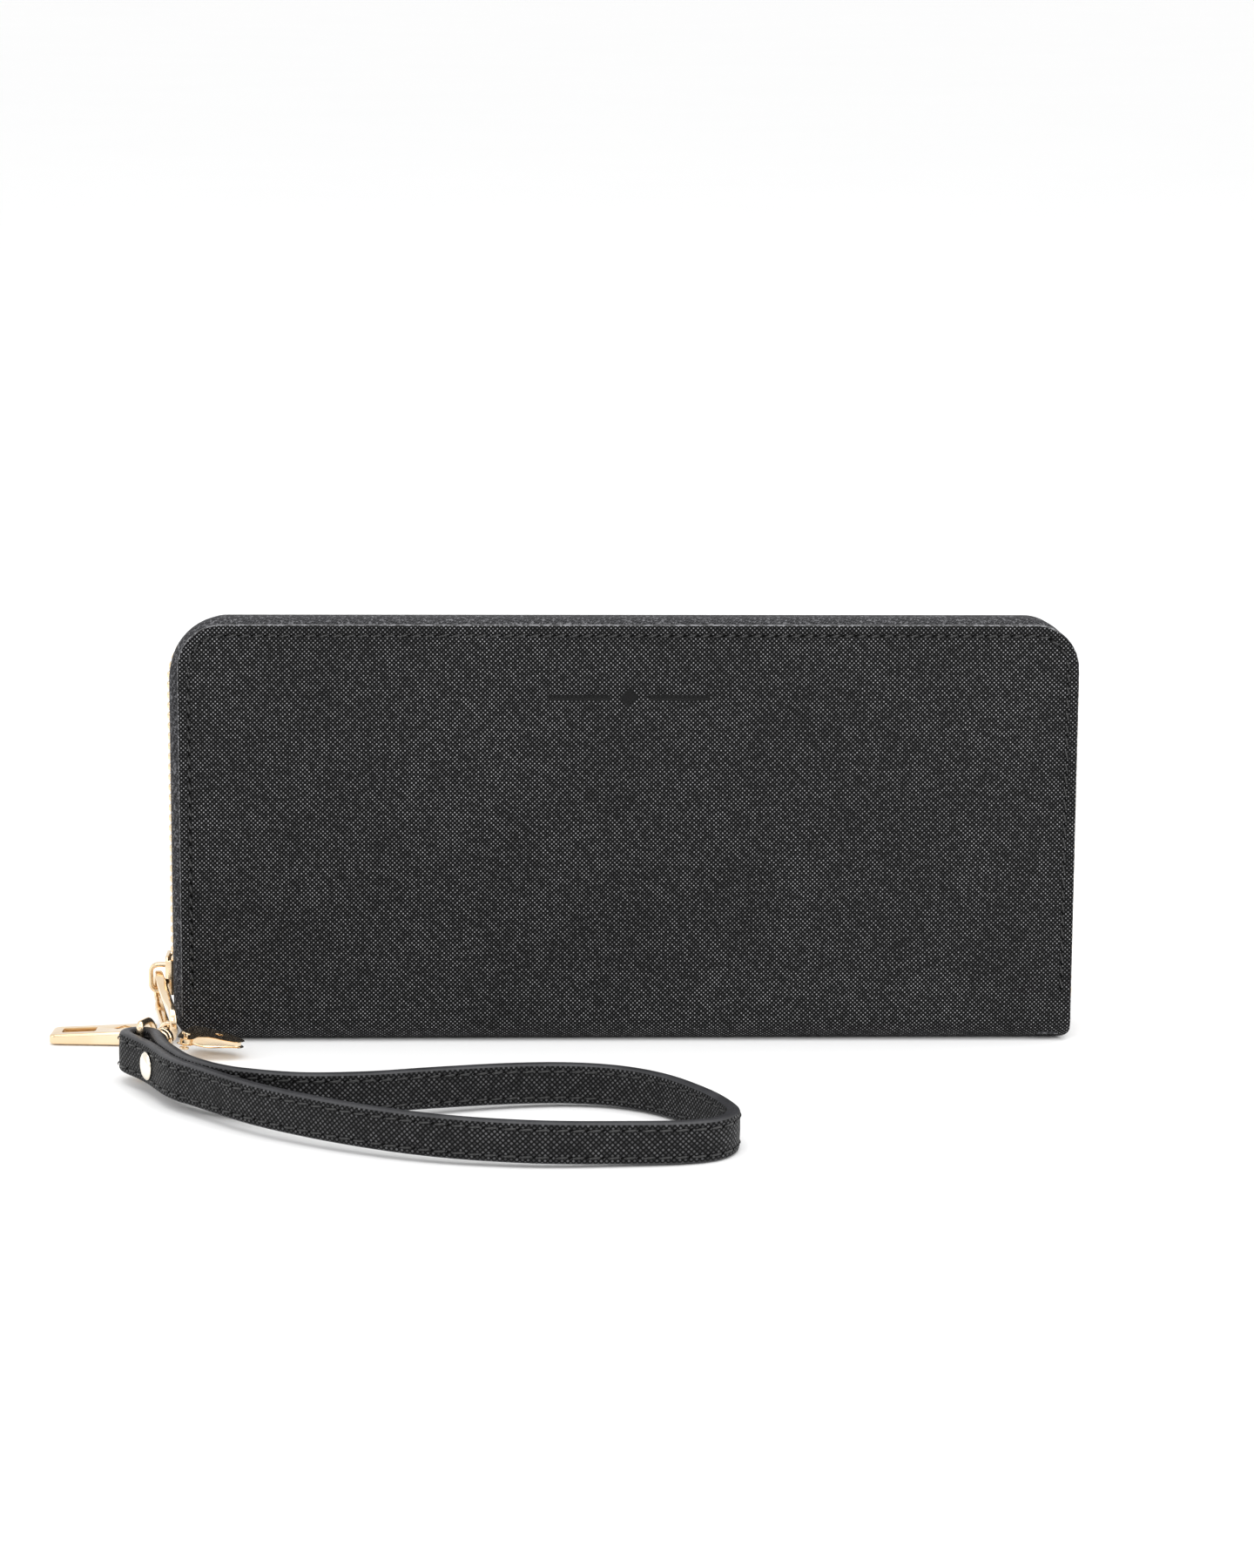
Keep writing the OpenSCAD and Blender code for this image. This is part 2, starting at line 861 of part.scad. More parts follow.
spine_and_back_leather();
spine_board();
back_board();
back_lining();
card_backing(1);  // back_card_backing
card_slot(1, 1);  // back_card_slot_upper
card_slot(1, 2);  // back_card_slot_middle
card_slot(1, 3);  // back_card_slot_lower
zip_tape(1);  // back_zip_tape
zip_teeth(1);  // back_zip_teeth
zip_stops(1);  // back_zip_stops
front_leather();
front_board();
front_lining();
card_backing(-1);  // front_card_backing
card_slot(-1, 1);  // front_card_slot_upper
card_slot(-1, 2);  // front_card_slot_middle
card_slot(-1, 3);  // front_card_slot_lower
zip_tape(-1);  // front_zip_tape
zip_teeth(-1);  // front_zip_teeth
zip_stops(-1);  // front_zip_stops
coin_wall(-1);  // coin_pocket_front_wall
coin_wall(1);  // coin_pocket_back_wall
coin_pocket_side_band();
coin_tape(-1);  // coin_zip_front_tape
coin_tape(1);  // coin_zip_back_tape
coin_teeth(-1);  // coin_zip_front_teeth
coin_teeth(1);  // coin_zip_back_teeth
coin_zip_stops();
coin_zip_slider();
coin_zip_puller();
gusset(-1, -1, 20);  // left_front_gusset
gusset(1, -1, 20);  // right_front_gusset
gusset(-1, 1, 12);  // left_back_gusset
gusset(1, 1, 12);  // right_back_gusset
slider_body();
slider_bridge();
carrier_ring();
bar_puller();
clasp_body();
clasp_lever();
clasp_lever_pin();
clasp_spring();
clasp_swivel_eye();
strap_outer_leather();
strap_inner_leather();
strap_rivet();
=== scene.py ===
"""Looks of the zip around wallet: leather, stitching, zip, gold fittings and strap."""

import math

import bmesh
import bpy
import numpy as np
from mathutils import Matrix, Vector


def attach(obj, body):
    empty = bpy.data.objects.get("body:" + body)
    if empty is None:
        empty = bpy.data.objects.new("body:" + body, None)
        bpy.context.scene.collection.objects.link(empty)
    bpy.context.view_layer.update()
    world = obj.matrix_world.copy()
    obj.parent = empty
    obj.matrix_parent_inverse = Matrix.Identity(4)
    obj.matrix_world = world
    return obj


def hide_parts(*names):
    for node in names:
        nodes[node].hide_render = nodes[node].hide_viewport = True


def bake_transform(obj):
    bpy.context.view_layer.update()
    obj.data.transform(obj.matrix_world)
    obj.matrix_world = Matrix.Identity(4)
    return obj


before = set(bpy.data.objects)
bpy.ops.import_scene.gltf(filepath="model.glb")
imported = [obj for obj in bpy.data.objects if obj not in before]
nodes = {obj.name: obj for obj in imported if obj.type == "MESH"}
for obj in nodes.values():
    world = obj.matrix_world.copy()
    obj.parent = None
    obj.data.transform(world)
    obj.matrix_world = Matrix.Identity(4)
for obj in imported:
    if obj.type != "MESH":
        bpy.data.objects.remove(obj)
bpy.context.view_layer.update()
MM = 0.001

# ---------- sizes, in millimetres ----------
HALF_W = 100.0  # covers, half their length
BODY_H = 95.0  # covers, height
HALF_T = 12.5  # closed wallet, half its depth
TOP_R = 10.0  # top corners of a cover
LOW_R = 2.6  # bottom corners of a cover
ROLL_R = 5.5  # roll from a cover into the spine
SKIN = 1.2  # leather thickness
STITCH_IN = 2.45  # seam, in from the cover's edge
ZIP_LEFT = 103.0  # outer face of the teeth on the slider's side
ZIP_RIGHT = 101.3  # the same on the right side
ZIP_TOP = 95.2  # top of the zip tape
ZIP_R = 14.0  # corners of the zip's path
TEETH_TOP = 94.6  # top of the teeth
TAPE_END = 1.3  # foot of the tape
PITCH = 2.33  # tooth spacing, number 5 zip
TOOTH_T = 2.4  # tooth thickness
BACK_DROP = 1.6  # the back cover lies lower at the zip
SEAM_OUT = 3.0  # the front hide ends here on the spine


# ---------- shader helpers ----------
class Shader:
    """Short names for building a node material."""

    def __init__(self, name):
        self.mat = bpy.data.materials.new(name)
        self.mat.use_nodes = True
        self.tree = self.mat.node_tree
        self.bsdf = self.tree.nodes["Principled BSDF"]

    def node(self, kind, **settings):
        n = self.tree.nodes.new(kind)
        for key, value in settings.items():
            setattr(n, key, value)
        return n

    def put(self, socket, value):
        if isinstance(value, bpy.types.NodeSocket):
            self.tree.links.new(value, socket)
        else:
            socket.default_value = value

    def math(self, op, a, b=0.0, c=0.0):
        n = self.node("ShaderNodeMath", operation=op)
        for socket, value in zip(n.inputs, (a, b, c)):
            self.put(socket, value)
        return n.outputs[0]

    def ramp(self, value, low, high, to_low=0.0, to_high=1.0):
        n = self.node("ShaderNodeMapRange", interpolation_type="SMOOTHSTEP")
        for socket, v in zip(n.inputs, (value, low, high, to_low, to_high)):
            self.put(socket, v)
        return n.outputs[0]

    def mix(self, share, a, b):
        n = self.node("ShaderNodeMix", data_type="RGBA")
        self.put(n.inputs[0], share)
        self.put(n.inputs[6], a)
        self.put(n.inputs[7], b)
        return n.outputs[2]

    def noise(self, vector, scale, detail=2.0, rough=0.5):
        n = self.node("ShaderNodeTexNoise")
        self.put(n.inputs["Vector"], vector)
        n.inputs["Scale"].default_value = scale
        n.inputs["Detail"].default_value = detail
        n.inputs["Roughness"].default_value = rough
        return n.outputs[0]

    def speckle(self, x, y):
        n = self.node("ShaderNodeTexWhiteNoise", noise_dimensions="2D")
        both = self.node("ShaderNodeCombineXYZ")
        self.put(both.inputs[0], x)
        self.put(both.inputs[1], y)
        self.put(n.inputs["Vector"], both.outputs[0])
        return n.outputs["Value"]

    def bump(self, height, distance, strength=1.0):
        n = self.node("ShaderNodeBump")
        n.inputs["Strength"].default_value = strength
        n.inputs["Distance"].default_value = distance
        self.put(n.inputs["Height"], height)
        return n.outputs[0]

    def uv(self):
        n = self.node("ShaderNodeUVMap", uv_map="mm")
        split = self.node("ShaderNodeSeparateXYZ")
        self.tree.links.new(n.outputs[0], split.inputs[0])
        return split.outputs[0], split.outputs[1]

    def place(self):
        return self.node("ShaderNodeTexCoord").outputs["Object"]

    def set(self, **values):
        for key, value in values.items():
            self.put(self.bsdf.inputs[key.replace("_", " ")], value)
        return self.mat


def grey(v, tint=0.0):
    return (v, v, v * (1 + tint), 1)


def saffiano(name="saffiano_leather", pitch=0.68, valley_shade=0.0006, crest=0.0026, bright=0.34, start=0.74):
    """Cross-hatch embossed leather: raised lozenges on a diagonal grid, with painted highlights (glints)
    on some lozenge tops and painted shade in the grooves between them.
    """
    s = Shader(name)
    u, v = s.uv()
    u = s.math("MULTIPLY_ADD", s.noise(s.place(), 60.0, 2.0), 0.5, u)
    v = s.math("MULTIPLY_ADD", s.noise(s.place(), 45.0, 2.0), 0.5, v)
    a = s.math("MULTIPLY", s.math("ADD", u, v), 0.7071 / pitch)
    b = s.math("MULTIPLY", s.math("SUBTRACT", u, v), 0.7071 / pitch)
    fa = s.math("ABSOLUTE", s.math("SINE", s.math("MULTIPLY", a, math.pi)))
    fb = s.math("ABSOLUTE", s.math("SINE", s.math("MULTIPLY", b, math.pi)))
    lozenge = s.math("POWER", s.math("MULTIPLY", fa, fb), 0.6)
    cell = s.speckle(s.math("FLOOR", a), s.math("FLOOR", b))
    # patch and streak noise only shape where the painted highlights (glints) fall
    patch = s.noise(s.place(), 45.0, 3.0, 0.6)
    run = s.node("ShaderNodeCombineXYZ")
    s.put(run.inputs[0], s.math("MULTIPLY", a, 0.9))
    s.put(run.inputs[1], s.math("MULTIPLY", b, 0.09))
    streak = s.noise(run.outputs[0], 1.0, 2.0, 0.6)
    # painted highlight: glint specks on the lozenge tops, varied per cell, mixed into the base colour
    # below
    glint = s.math("MULTIPLY", s.ramp(lozenge, start, 0.98), s.ramp(cell, 0.0, 1.0, 0.3, 1.0))
    glint = s.math("MULTIPLY", glint, s.ramp(patch, 0.3, 0.7, 0.75, 1.0))
    glint = s.math("MULTIPLY", glint, s.ramp(streak, 0.35, 0.65, 0.7, 1.0))
    # painted shade: the grooves between the lozenges are coloured darker than the raised tops
    colour = s.mix(s.ramp(lozenge, 0.2, 0.7), grey(valley_shade, 0.06), grey(crest, 0.06))
    colour = s.mix(glint, colour, grey(bright, 0.03))
    height = s.math("MULTIPLY", lozenge, s.ramp(cell, 0.0, 1.0, 0.7, 1.0))
    rough = s.ramp(lozenge, 0.2, 0.9, 0.60, 0.42)
    s.set(Base_Color=colour, Roughness=rough, Normal=s.bump(height, 0.00009, 0.9))
    s.bsdf.inputs["Specular IOR Level"].default_value = 0.1
    return s.mat


def pressed_leather():
    """Leather burnished flat under the debossing plate."""
    s = Shader("pressed_leather")
    grain = s.noise(s.place(), 500.0, 3.0, 0.6)
    s.set(
        Base_Color=s.mix(grain, grey(0.001), grey(0.005, 0.05)),
        Roughness=0.35,
        Normal=s.bump(grain, 0.00002, 0.5),
    )
    s.bsdf.inputs["Specular IOR Level"].default_value = 0.15
    return s.mat


def rim_paint_and_highlight():
    """The cut rim of a cover: dark edge paint with painted highlight specks where the rounded edge catches
    the light.
    """
    s = Shader("cover_rim")
    grain = s.noise(s.place(), 900.0, 3.0, 0.6)
    # painted highlight: light specks (0.16) scattered over the dark edge paint
    s.set(
        Base_Color=s.mix(s.ramp(grain, 0.46, 0.6), grey(0.006, 0.05), grey(0.16, 0.05)),
        Roughness=0.4,
        Normal=s.bump(grain, 0.00002, 0.6),
    )
    return s.mat


def painted_edge():
    s = Shader("painted_edge")
    grain = s.noise(s.place(), 1400.0, 3.0, 0.6)
    long = s.noise(s.place(), 120.0, 2.0)
    colour = s.mix(s.ramp(long, 0.3, 0.7), grey(0.024, 0.1), grey(0.042, 0.08))
    s.set(
        Base_Color=colour,
        Roughness=s.ramp(grain, 0.3, 0.7, 0.34, 0.46),
        Normal=s.bump(grain, 0.00002, 0.6),
    )
    s.bsdf.inputs["Specular IOR Level"].default_value = 0.3
    return s.mat


def thread():
    s = Shader("waxed_thread")
    twist = s.noise(s.place(), 2500.0, 1.0)
    s.set(
        Base_Color=s.mix(twist, grey(0.005), grey(0.032)),
        Roughness=0.45,
        Normal=s.bump(twist, 0.00004, 0.8),
    )
    return s.mat


def needle_shadow():
    s = Shader("needle_hole_shade")
    # painted shade: near-black matt colour standing in for the shade inside the needle holes
    s.set(Base_Color=s.mix(s.noise(s.place(), 900.0), grey(0.001), grey(0.004)), Roughness=0.95)
    s.bsdf.inputs["Specular IOR Level"].default_value = 0.05
    return s.mat


def woven_tape():
    s = Shader("woven_tape")
    u, v = s.uv()
    ribs = s.math("SINE", s.math("MULTIPLY", u, 2 * math.pi / 1.0))
    side = s.math("SINE", s.math("MULTIPLY", s.math("ADD", v, s.math("MULTIPLY", u, 0.5)), 7.0))
    weave = s.math("MULTIPLY_ADD", s.math("MULTIPLY", ribs, side), 0.5, 0.5)
    fuzz = s.noise(s.place(), 1700.0, 2.0, 0.7)
    colour = s.mix(weave, grey(0.002, 0.1), grey(0.055, 0.08))
    colour = s.mix(s.ramp(fuzz, 0.52, 0.66, 0.0, 0.9), colour, grey(0.16, 0.05))
    s.set(Base_Color=colour, Roughness=0.85, Normal=s.bump(weave, 0.00012, 0.9))
    s.bsdf.inputs["Specular IOR Level"].default_value = 0.2
    return s.mat


def gold(name="light_gold", rough=0.1, fine=0.08, dark=(0.78, 0.60, 0.39, 1), light=(0.87, 0.71, 0.51, 1)):
    """Polished champagne plating with faint wipe marks and tiny pits."""
    s = Shader(name)
    wipe = s.node("ShaderNodeMapping")
    s.put(wipe.inputs[0], s.place())
    wipe.inputs["Scale"].default_value = (1.0, 1.0, 9.0)
    marks = s.noise(wipe.outputs[0], 500.0, 4.0, 0.65)
    broad = s.noise(s.place(), 90.0, 2.0)
    colour = s.mix(s.ramp(broad, 0.3, 0.7), dark, light)
    s.set(
        Base_Color=colour,
        Metallic=1.0,
        Roughness=s.ramp(marks, 0.35, 0.75, rough, rough + fine),
        Normal=s.bump(marks, 0.000006, 0.4),
    )
    return s.mat


def lining_cloth(name="lining_cloth", tone=0.022):
    s = Shader(name)
    split = s.node("ShaderNodeSeparateXYZ")
    s.put(split.inputs[0], s.place())
    x, y, z = split.outputs
    warp = s.math("SINE", s.math("MULTIPLY", x, 2 * math.pi / 0.0006))
    weft = s.math("SINE", s.math("MULTIPLY", s.math("ADD", z, y), 2 * math.pi / 0.0006))
    weave = s.math("MULTIPLY_ADD", s.math("MULTIPLY", warp, weft), 0.5, 0.5)
    soft = s.noise(s.place(), 70.0, 3.0)
    colour = s.mix(weave, grey(tone * 0.6, 0.08), grey(tone * 1.5, 0.08))
    colour = s.mix(s.ramp(soft, 0.3, 0.7, 0.0, 0.35), colour, grey(tone * 2.0, 0.05))
    s.set(Base_Color=colour, Roughness=0.8, Normal=s.bump(weave, 0.00005, 0.6))
    s.bsdf.inputs["Sheen Weight"].default_value = 0.2
    return s.mat


def smooth_leather():
    s = Shader("smooth_leather")
    pores = s.node("ShaderNodeTexVoronoi", feature="F1")
    s.put(pores.inputs["Vector"], s.place())
    pores.inputs["Scale"].default_value = 1500.0
    soft = s.noise(s.place(), 60.0, 4.0)
    colour = s.mix(s.ramp(soft, 0.3, 0.7), grey(0.018, 0.04), grey(0.032, 0.04))
    s.set(
        Base_Color=colour,
        Roughness=s.ramp(soft, 0.3, 0.7, 0.42, 0.55),
        Normal=s.bump(pores.outputs[0], 0.00005, 0.7),
    )
    return s.mat


def board():
    s = Shader("stiff_board")
    fibre = s.noise(s.place(), 700.0, 5.0, 0.7)
    colour = s.mix(fibre, (0.25, 0.22, 0.18, 1), (0.42, 0.38, 0.32, 1))
    s.set(Base_Color=colour, Roughness=0.9, Normal=s.bump(fibre, 0.00006, 0.6))
    return s.mat


def spring_steel():
    s = Shader("spring_steel")
    marks = s.noise(s.place(), 3000.0, 2.0)
    s.set(Base_Color=(0.55, 0.55, 0.57, 1), Metallic=1.0, Roughness=s.ramp(marks, 0.3, 0.7, 0.2, 0.35))
    return s.mat


def floor_paper():
    s = Shader("studio_floor")
    haze = s.noise(s.place(), 4.0, 2.0)
    s.set(Base_Color=s.mix(haze, grey(0.93), grey(0.95)), Roughness=0.55)
    s.bsdf.inputs["Specular IOR Level"].default_value = 0.3
    return s.mat


M = {
    "hide": saffiano(),
    # strap leather: the same painted highlights (glints, tone 0.12) and painted groove shade, in its own
    # tones
    "strap": saffiano("strap_saffiano", 0.8, 0.0006, 0.006, 0.12, 0.5),
    "edge": painted_edge(),
    "rim": rim_paint_and_highlight(),
    "pressed": pressed_leather(),
    # painted shade of the needle holes
    "thread": thread(),
    "hole": needle_shadow(),
    "tape": woven_tape(),
    "gold": gold(),
    "teeth": gold("tooth_gold", 0.16, 0.12),
    # rivet plating drawn paler than the other fittings: a painted reflection standing in for the cap's
    # white glare
    "pale_glare_gold": gold("rivet_gold_painted_glare", 0.08, 0.05, (0.90, 0.82, 0.68, 1), (0.95, 0.89, 0.78, 1)),
    "lining": lining_cloth(),
    "card": smooth_leather(),
    "board": board(),
    "steel": spring_steel(),
    "floor": floor_paper(),
}


# ---------- mesh helpers ----------
def piece(name, verts, faces, mats, body=None, uv=None, face_mats=None, sharp=40.0, slot=None, wrap=None):
    """A mesh in the row frame from millimetre points; uv is one pair per vertex, in millimetres."""
    me = bpy.data.meshes.new(name)
    me.from_pydata([tuple(p) for p in np.asarray(verts, float) * MM], [], faces)
    for m in mats:
        me.materials.append(M[m])
    if face_mats is not None:
        me.polygons.foreach_set("material_index", np.asarray(face_mats, np.int32))
    if uv is not None:
        layer = me.uv_layers.new(name="mm")
        index = np.zeros(len(me.loops), np.int32)
        me.loops.foreach_get("vertex_index", index)
        flat = np.asarray(uv, np.float32)[index]
        if wrap:
            starts = [p.loop_start for p in me.polygons]
            for a, b in zip(starts, starts[1:] + [len(flat)]):
                if np.ptp(flat[a:b, 0]) > wrap / 2:
                    flat[a:b, 0] += np.where(flat[a:b, 0] < wrap / 2, wrap, 0)
        layer.data.foreach_set("uv", flat.ravel())
    me.shade_smooth()
    me.update()
    bm = bmesh.new()
    bm.from_mesh(me)
    bmesh.ops.recalc_face_normals(bm, faces=bm.faces)
    bm.to_mesh(me)
    bm.free()
    me.set_sharp_from_angle(angle=math.radians(sharp))
    ob = bpy.data.objects.new(name, me)
    bpy.context.scene.collection.objects.link(ob)
    if body:
        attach(ob, body)
    return ob


class Heap:
    """Collects many small solids into one mesh."""

    def __init__(self):
        self.verts, self.faces, self.uv, self.mats = [], [], [], []

    def add(self, verts, faces, mat=0):
        base = len(self.verts)
        self.verts.extend(np.asarray(verts, float).tolist())
        self.faces.extend([tuple(base + i for i in f) for f in faces])
        self.uv.extend([[0, 0]] * len(verts))
        self.mats.extend([mat] * len(faces))

    def make(self, name, mats, **kw):
        return piece(name, self.verts, self.faces, mats, uv=self.uv, face_mats=self.mats, **kw)


def unit(v):
    v = np.asarray(v, float)
    n = np.linalg.norm(v, axis=-1, keepdims=True)
    return v / np.where(n < 1e-12, 1, n)


def loft(rings, closed=False):
    """Faces between equal rings of points; returns verts and faces."""
    rings = np.asarray(rings, float)
    n, m = rings.shape[:2]
    faces = []
    for i in range(n if closed else n - 1):
        j = (i + 1) % n
        for k in range(m):
            l = (k + 1) % m
            faces.append((i * m + k, i * m + l, j * m + l, j * m + k))
    if not closed:
        faces.append(tuple(range(m - 1, -1, -1)))
        faces.append(tuple(range((n - 1) * m, n * m)))
    return rings.reshape(-1, 3), faces


def rounded_rect(w, h, r, seg=4):
    """Section points round a w by h rectangle with corner radius r, anticlockwise."""
    pts = []
    for cx, cy, a0 in ((w / 2 - r, h / 2 - r, 0), (-w / 2 + r, h / 2 - r, 90),
                       (-w / 2 + r, -h / 2 + r, 180), (w / 2 - r, -h / 2 + r, 270)):
        for k in range(seg + 1):
            a = math.radians(a0 + 90 * k / seg)
            pts.append((cx + r * math.cos(a), cy + r * math.sin(a)))
    return np.array(pts)


def circle(r, n=16):
    a = np.arange(n) * 2 * math.pi / n
    return np.stack([r * np.cos(a), r * np.sin(a)], 1)


def sweep(path, side, section, closed=False):
    """Section (x along side, y along side x tangent) carried along a path; returns rings."""
    path = np.asarray(path, float)
    if closed:
        t = unit(np.roll(path, -1, 0) - np.roll(path, 1, 0))
    else:
        t = unit(np.gradient(path, axis=0))
    side = np.broadcast_to(np.asarray(side, float), path.shape)
    side = unit(side - (side * t).sum(1, keepdims=True) * t)
    up = np.cross(t, side)
    sec = np.asarray(section, float)
    if sec.ndim == 2:
        sec = np.broadcast_to(sec, (len(path),) + sec.shape)
    return path[:, None] + sec[..., 0:1] * side[:, None] + sec[..., 1:2] * up[:, None]


def lathe(profile, origin, axis, n=48):
    """Solid of revolution: profile is [radius, distance along axis] from one pole to the other."""
    axis = unit(axis)
    ref = np.array([0, 0, 1.0]) if abs(axis[2]) < 0.9 else np.array([1.0, 0, 0])
    e1 = unit(np.cross(axis, ref))
    e2 = np.cross(axis, e1)
    ang = np.arange(n) * 2 * math.pi / n
    dirs = np.cos(ang)[:, None] * e1 + np.sin(ang)[:, None] * e2
    rings = [np.asarray(origin) + max(r, 1e-4) * dirs + h * axis for r, h in profile]
    return loft(rings)


def arc_length(path, closed=False):
    d = np.linalg.norm(np.diff(np.vstack([path, path[:1]]) if closed else path, axis=0), axis=1)
    return np.concatenate([[0], np.cumsum(d)])


def smooth01(t):
    t = np.clip(t, 0, 1)
    return t * t * (3 - 2 * t)


# ---------- leather covers ----------
def edge_distance(x, z, w=HALF_W, top=BODY_H, r=TOP_R):
    """Distance in from the cover's left, top and right edges."""
    dx = w - np.abs(x)
    dz = top - z
    inside = np.minimum(dx, dz)
    corner = (dx < r) & (dz < r)
    return np.where(corner, r - np.hypot(r - dx, r - dz), inside)


def half_width(z):
    if z > BODY_H - TOP_R:
        return HALF_W - TOP_R + math.sqrt(max(TOP_R**2 - (z - BODY_H + TOP_R) ** 2, 0))
    if z < LOW_R:
        return HALF_W - LOW_R + math.sqrt(max(LOW_R**2 - (LOW_R - max(z, 0)) ** 2, 0))
    return HALF_W


def ornament_depth(x, z):
    """Generic debossed mark near the top: a lozenge between two short bars."""
    zc = 78.8
    lozenge = 2.3 - (np.abs(x) + np.abs(z - zc))
    bar = np.minimum(7.0 - np.abs(np.abs(x) - 11.0), 0.55 - np.abs(z - zc))
    return 0.3 * smooth01(np.maximum(lozenge, bar) / 0.3 + 0.5)


def drop_at(side, z):
    """How much lower the back cover lies at height z; the front one doesn't."""
    return BACK_DROP * float(smooth01((z - 55) / 40)) if side > 0 else 0.0


# distances in from a cover's edge, close together where the edge rounds over and at the seam
EDGE_STEPS = [0, 0.04, 0.1, 0.2, 0.35, 0.55, 0.8, 1.2, 1.7, 2.05, 2.3, 2.45, 2.6, 2.9, 3.3, 4.0, 5.0,
              6.5, 8.5, 11.0]


def hide_section(side):
    """Points [s, y, z, ny, nz] of the outer face from the top edge down to the spine."""
    pts = []
    z_levels = [BODY_H - d for d in EDGE_STEPS]
    z_levels += list(np.arange(83.0, 81.2, -0.6)) + list(np.arange(81.1, 76.4, -0.22))
    z_levels += list(np.arange(75.5, 16.0, -4.0)) + list(np.arange(14.0, ROLL_R, -0.8)) + [ROLL_R]
    for z in z_levels:
        pts.append((z, -HALF_T, 0.0))
    for a in range(6, 91, 6):
        a = math.radians(a)
        pts.append((ROLL_R - ROLL_R * math.sin(a), -(HALF_T - ROLL_R) - ROLL_R * math.cos(a), a))
    for y in np.arange(-HALF_T + ROLL_R + 1.0, SEAM_OUT + 0.01, 1.0):
        if side < 0 and y > -SEAM_OUT:
            break
        pts.append((0.0, y, math.pi / 2))
    out = []
    for z, y, a in pts:
        out.append((z, y * -side, -math.cos(a) * -side, -math.sin(a)))
    return out


def cover_hide(name, side):
    """Outer leather of one side, front -1 or back 1, down the roll and under the spine."""
    sec = hide_section(side)
    mids = list(np.arange(-76, -19.9, 8)) if side < 0 else list(np.arange(-76, 76.1, 8))
    if side < 0:
        mids += list(np.arange(-18.6, 18.7, 0.3)) + list(np.arange(20, 76.1, 8))
    outer, inner, uvs, dist, marks = [], [], [], [], []
    s_len = 0.0
    last = None
    for z, y, ny, nz in sec:
        if last is not None:
            s_len += math.hypot(z - last[0], y - last[1])
        last = (z, y)
        w = half_width(z)
        left = [-w + d for d in EDGE_STEPS]
        row = left + [x * (w / HALF_W) for x in mids] + [-x for x in reversed(left)]
        for x in row:
            flat = z >= ROLL_R
            d = float(edge_distance(np.array(x), np.array(z))) if flat else w - abs(x)
            d = max(d, 0.0)
            drop = 0.42 - math.sqrt(max(0.42**2 - max(0.42 - d, 0) ** 2, 0))
            groove = 0.26 * math.exp(-((d - STITCH_IN) / 0.36) ** 2) if z > 9 else 0.0
            pad = 0.30 * float(smooth01((d - 3.0) / 6.0)) * float(smooth01((z - 4.0) / 10.0))
            mark = float(ornament_depth(np.array(x), np.array(z))) if side < 0 else 0.0
            off = pad - drop - groove - mark
            sunk = drop_at(side, z)
            outer.append((x, y + ny * off, z + nz * off - sunk))
            deep = SKIN - (0.3 if d < 0.01 else 0.0)
            inner.append((x, y - ny * deep, z - nz * deep - sunk))
            uvs.append((x, -s_len))
            dist.append(d)
            marks.append(mark)
    n, m = len(sec), len(row)
    z_of = [p[0] for p in sec]
    verts = outer + inner
    faces, fmat = [], []
    for i in range(n - 1):
        for j in range(m - 1):
            a, b, c, d = i * m + j, i * m + j + 1, (i + 1) * m + j + 1, (i + 1) * m + j
            near = max(dist[a], dist[b], dist[c], dist[d])
            faces.append((a, b, c, d))
            # faces within 0.25 mm of the edge take the rim material: dark edge paint with painted
            # highlight specks
            fmat.append(1 if near < 0.25 and z_of[i] > 6 else 3 if min(marks[a], marks[c]) > 0.1 else 0)
            k = n * m
            faces.append((k + d, k + c, k + b, k + a))
            fmat.append(2)
    k = n * m
    border = [(i * m, (i + 1) * m) for i in range(n - 1)]
    border += [((i + 1) * m + m - 1, i * m + m - 1) for i in range(n - 1)]
    border += [(j + 1, j) for j in range(m - 1)]
    border += [((n - 1) * m + j, (n - 1) * m + j + 1) for j in range(m - 1)]
    # the cut walls take the rim material too, painted highlight specks included
    for a, b in border:
        faces.append((a, b, k + b, k + a))
        fmat.append(1)
    mats = ["hide", "rim", "lining", "pressed"]
    return piece(name, verts, faces, mats, uv=uvs + uvs, face_mats=fmat, sharp=60, slot="cover_leather")


front_hide = cover_hide("front_cover_hide", -1)
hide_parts("front_leather")
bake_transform(front_hide)
back_hide = cover_hide("back_cover_hide", 1)
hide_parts("spine_and_back_leather")
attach(back_hide, "wallet_back")


# ---------- stitching and zip ----------
def u_path(left, right, top, r, low, step):
    """Points up the left side, round the top and down the right side, with outward normals."""
    pts, nor = [], []

    def line(p, q, n):
        count = max(2, int(math.dist(p, q) / step))
        for k in range(count):
            t = k / count
            pts.append((p[0] + (q[0] - p[0]) * t, p[1] + (q[1] - p[1]) * t))
            nor.append(n)

    def corner(cx, cz, a0, a1):
        count = max(6, int(r * math.radians(abs(a1 - a0)) / step))
        for k in range(count):
            a = math.radians(a0 + (a1 - a0) * k / count)
            pts.append((cx + r * math.cos(a), cz + r * math.sin(a)))
            nor.append((math.cos(a), math.sin(a)))

    line((left, low), (left, top - r), (-1, 0))
    corner(left + r, top - r, 180, 90)
    line((left + r, top), (right - r, top), (0, 1))
    corner(right - r, top - r, 90, 0)
    line((right, top - r), (right, low), (1, 0))
    pts.append((right, low))
    nor.append((1, 0))
    return np.array(pts), np.array(nor)


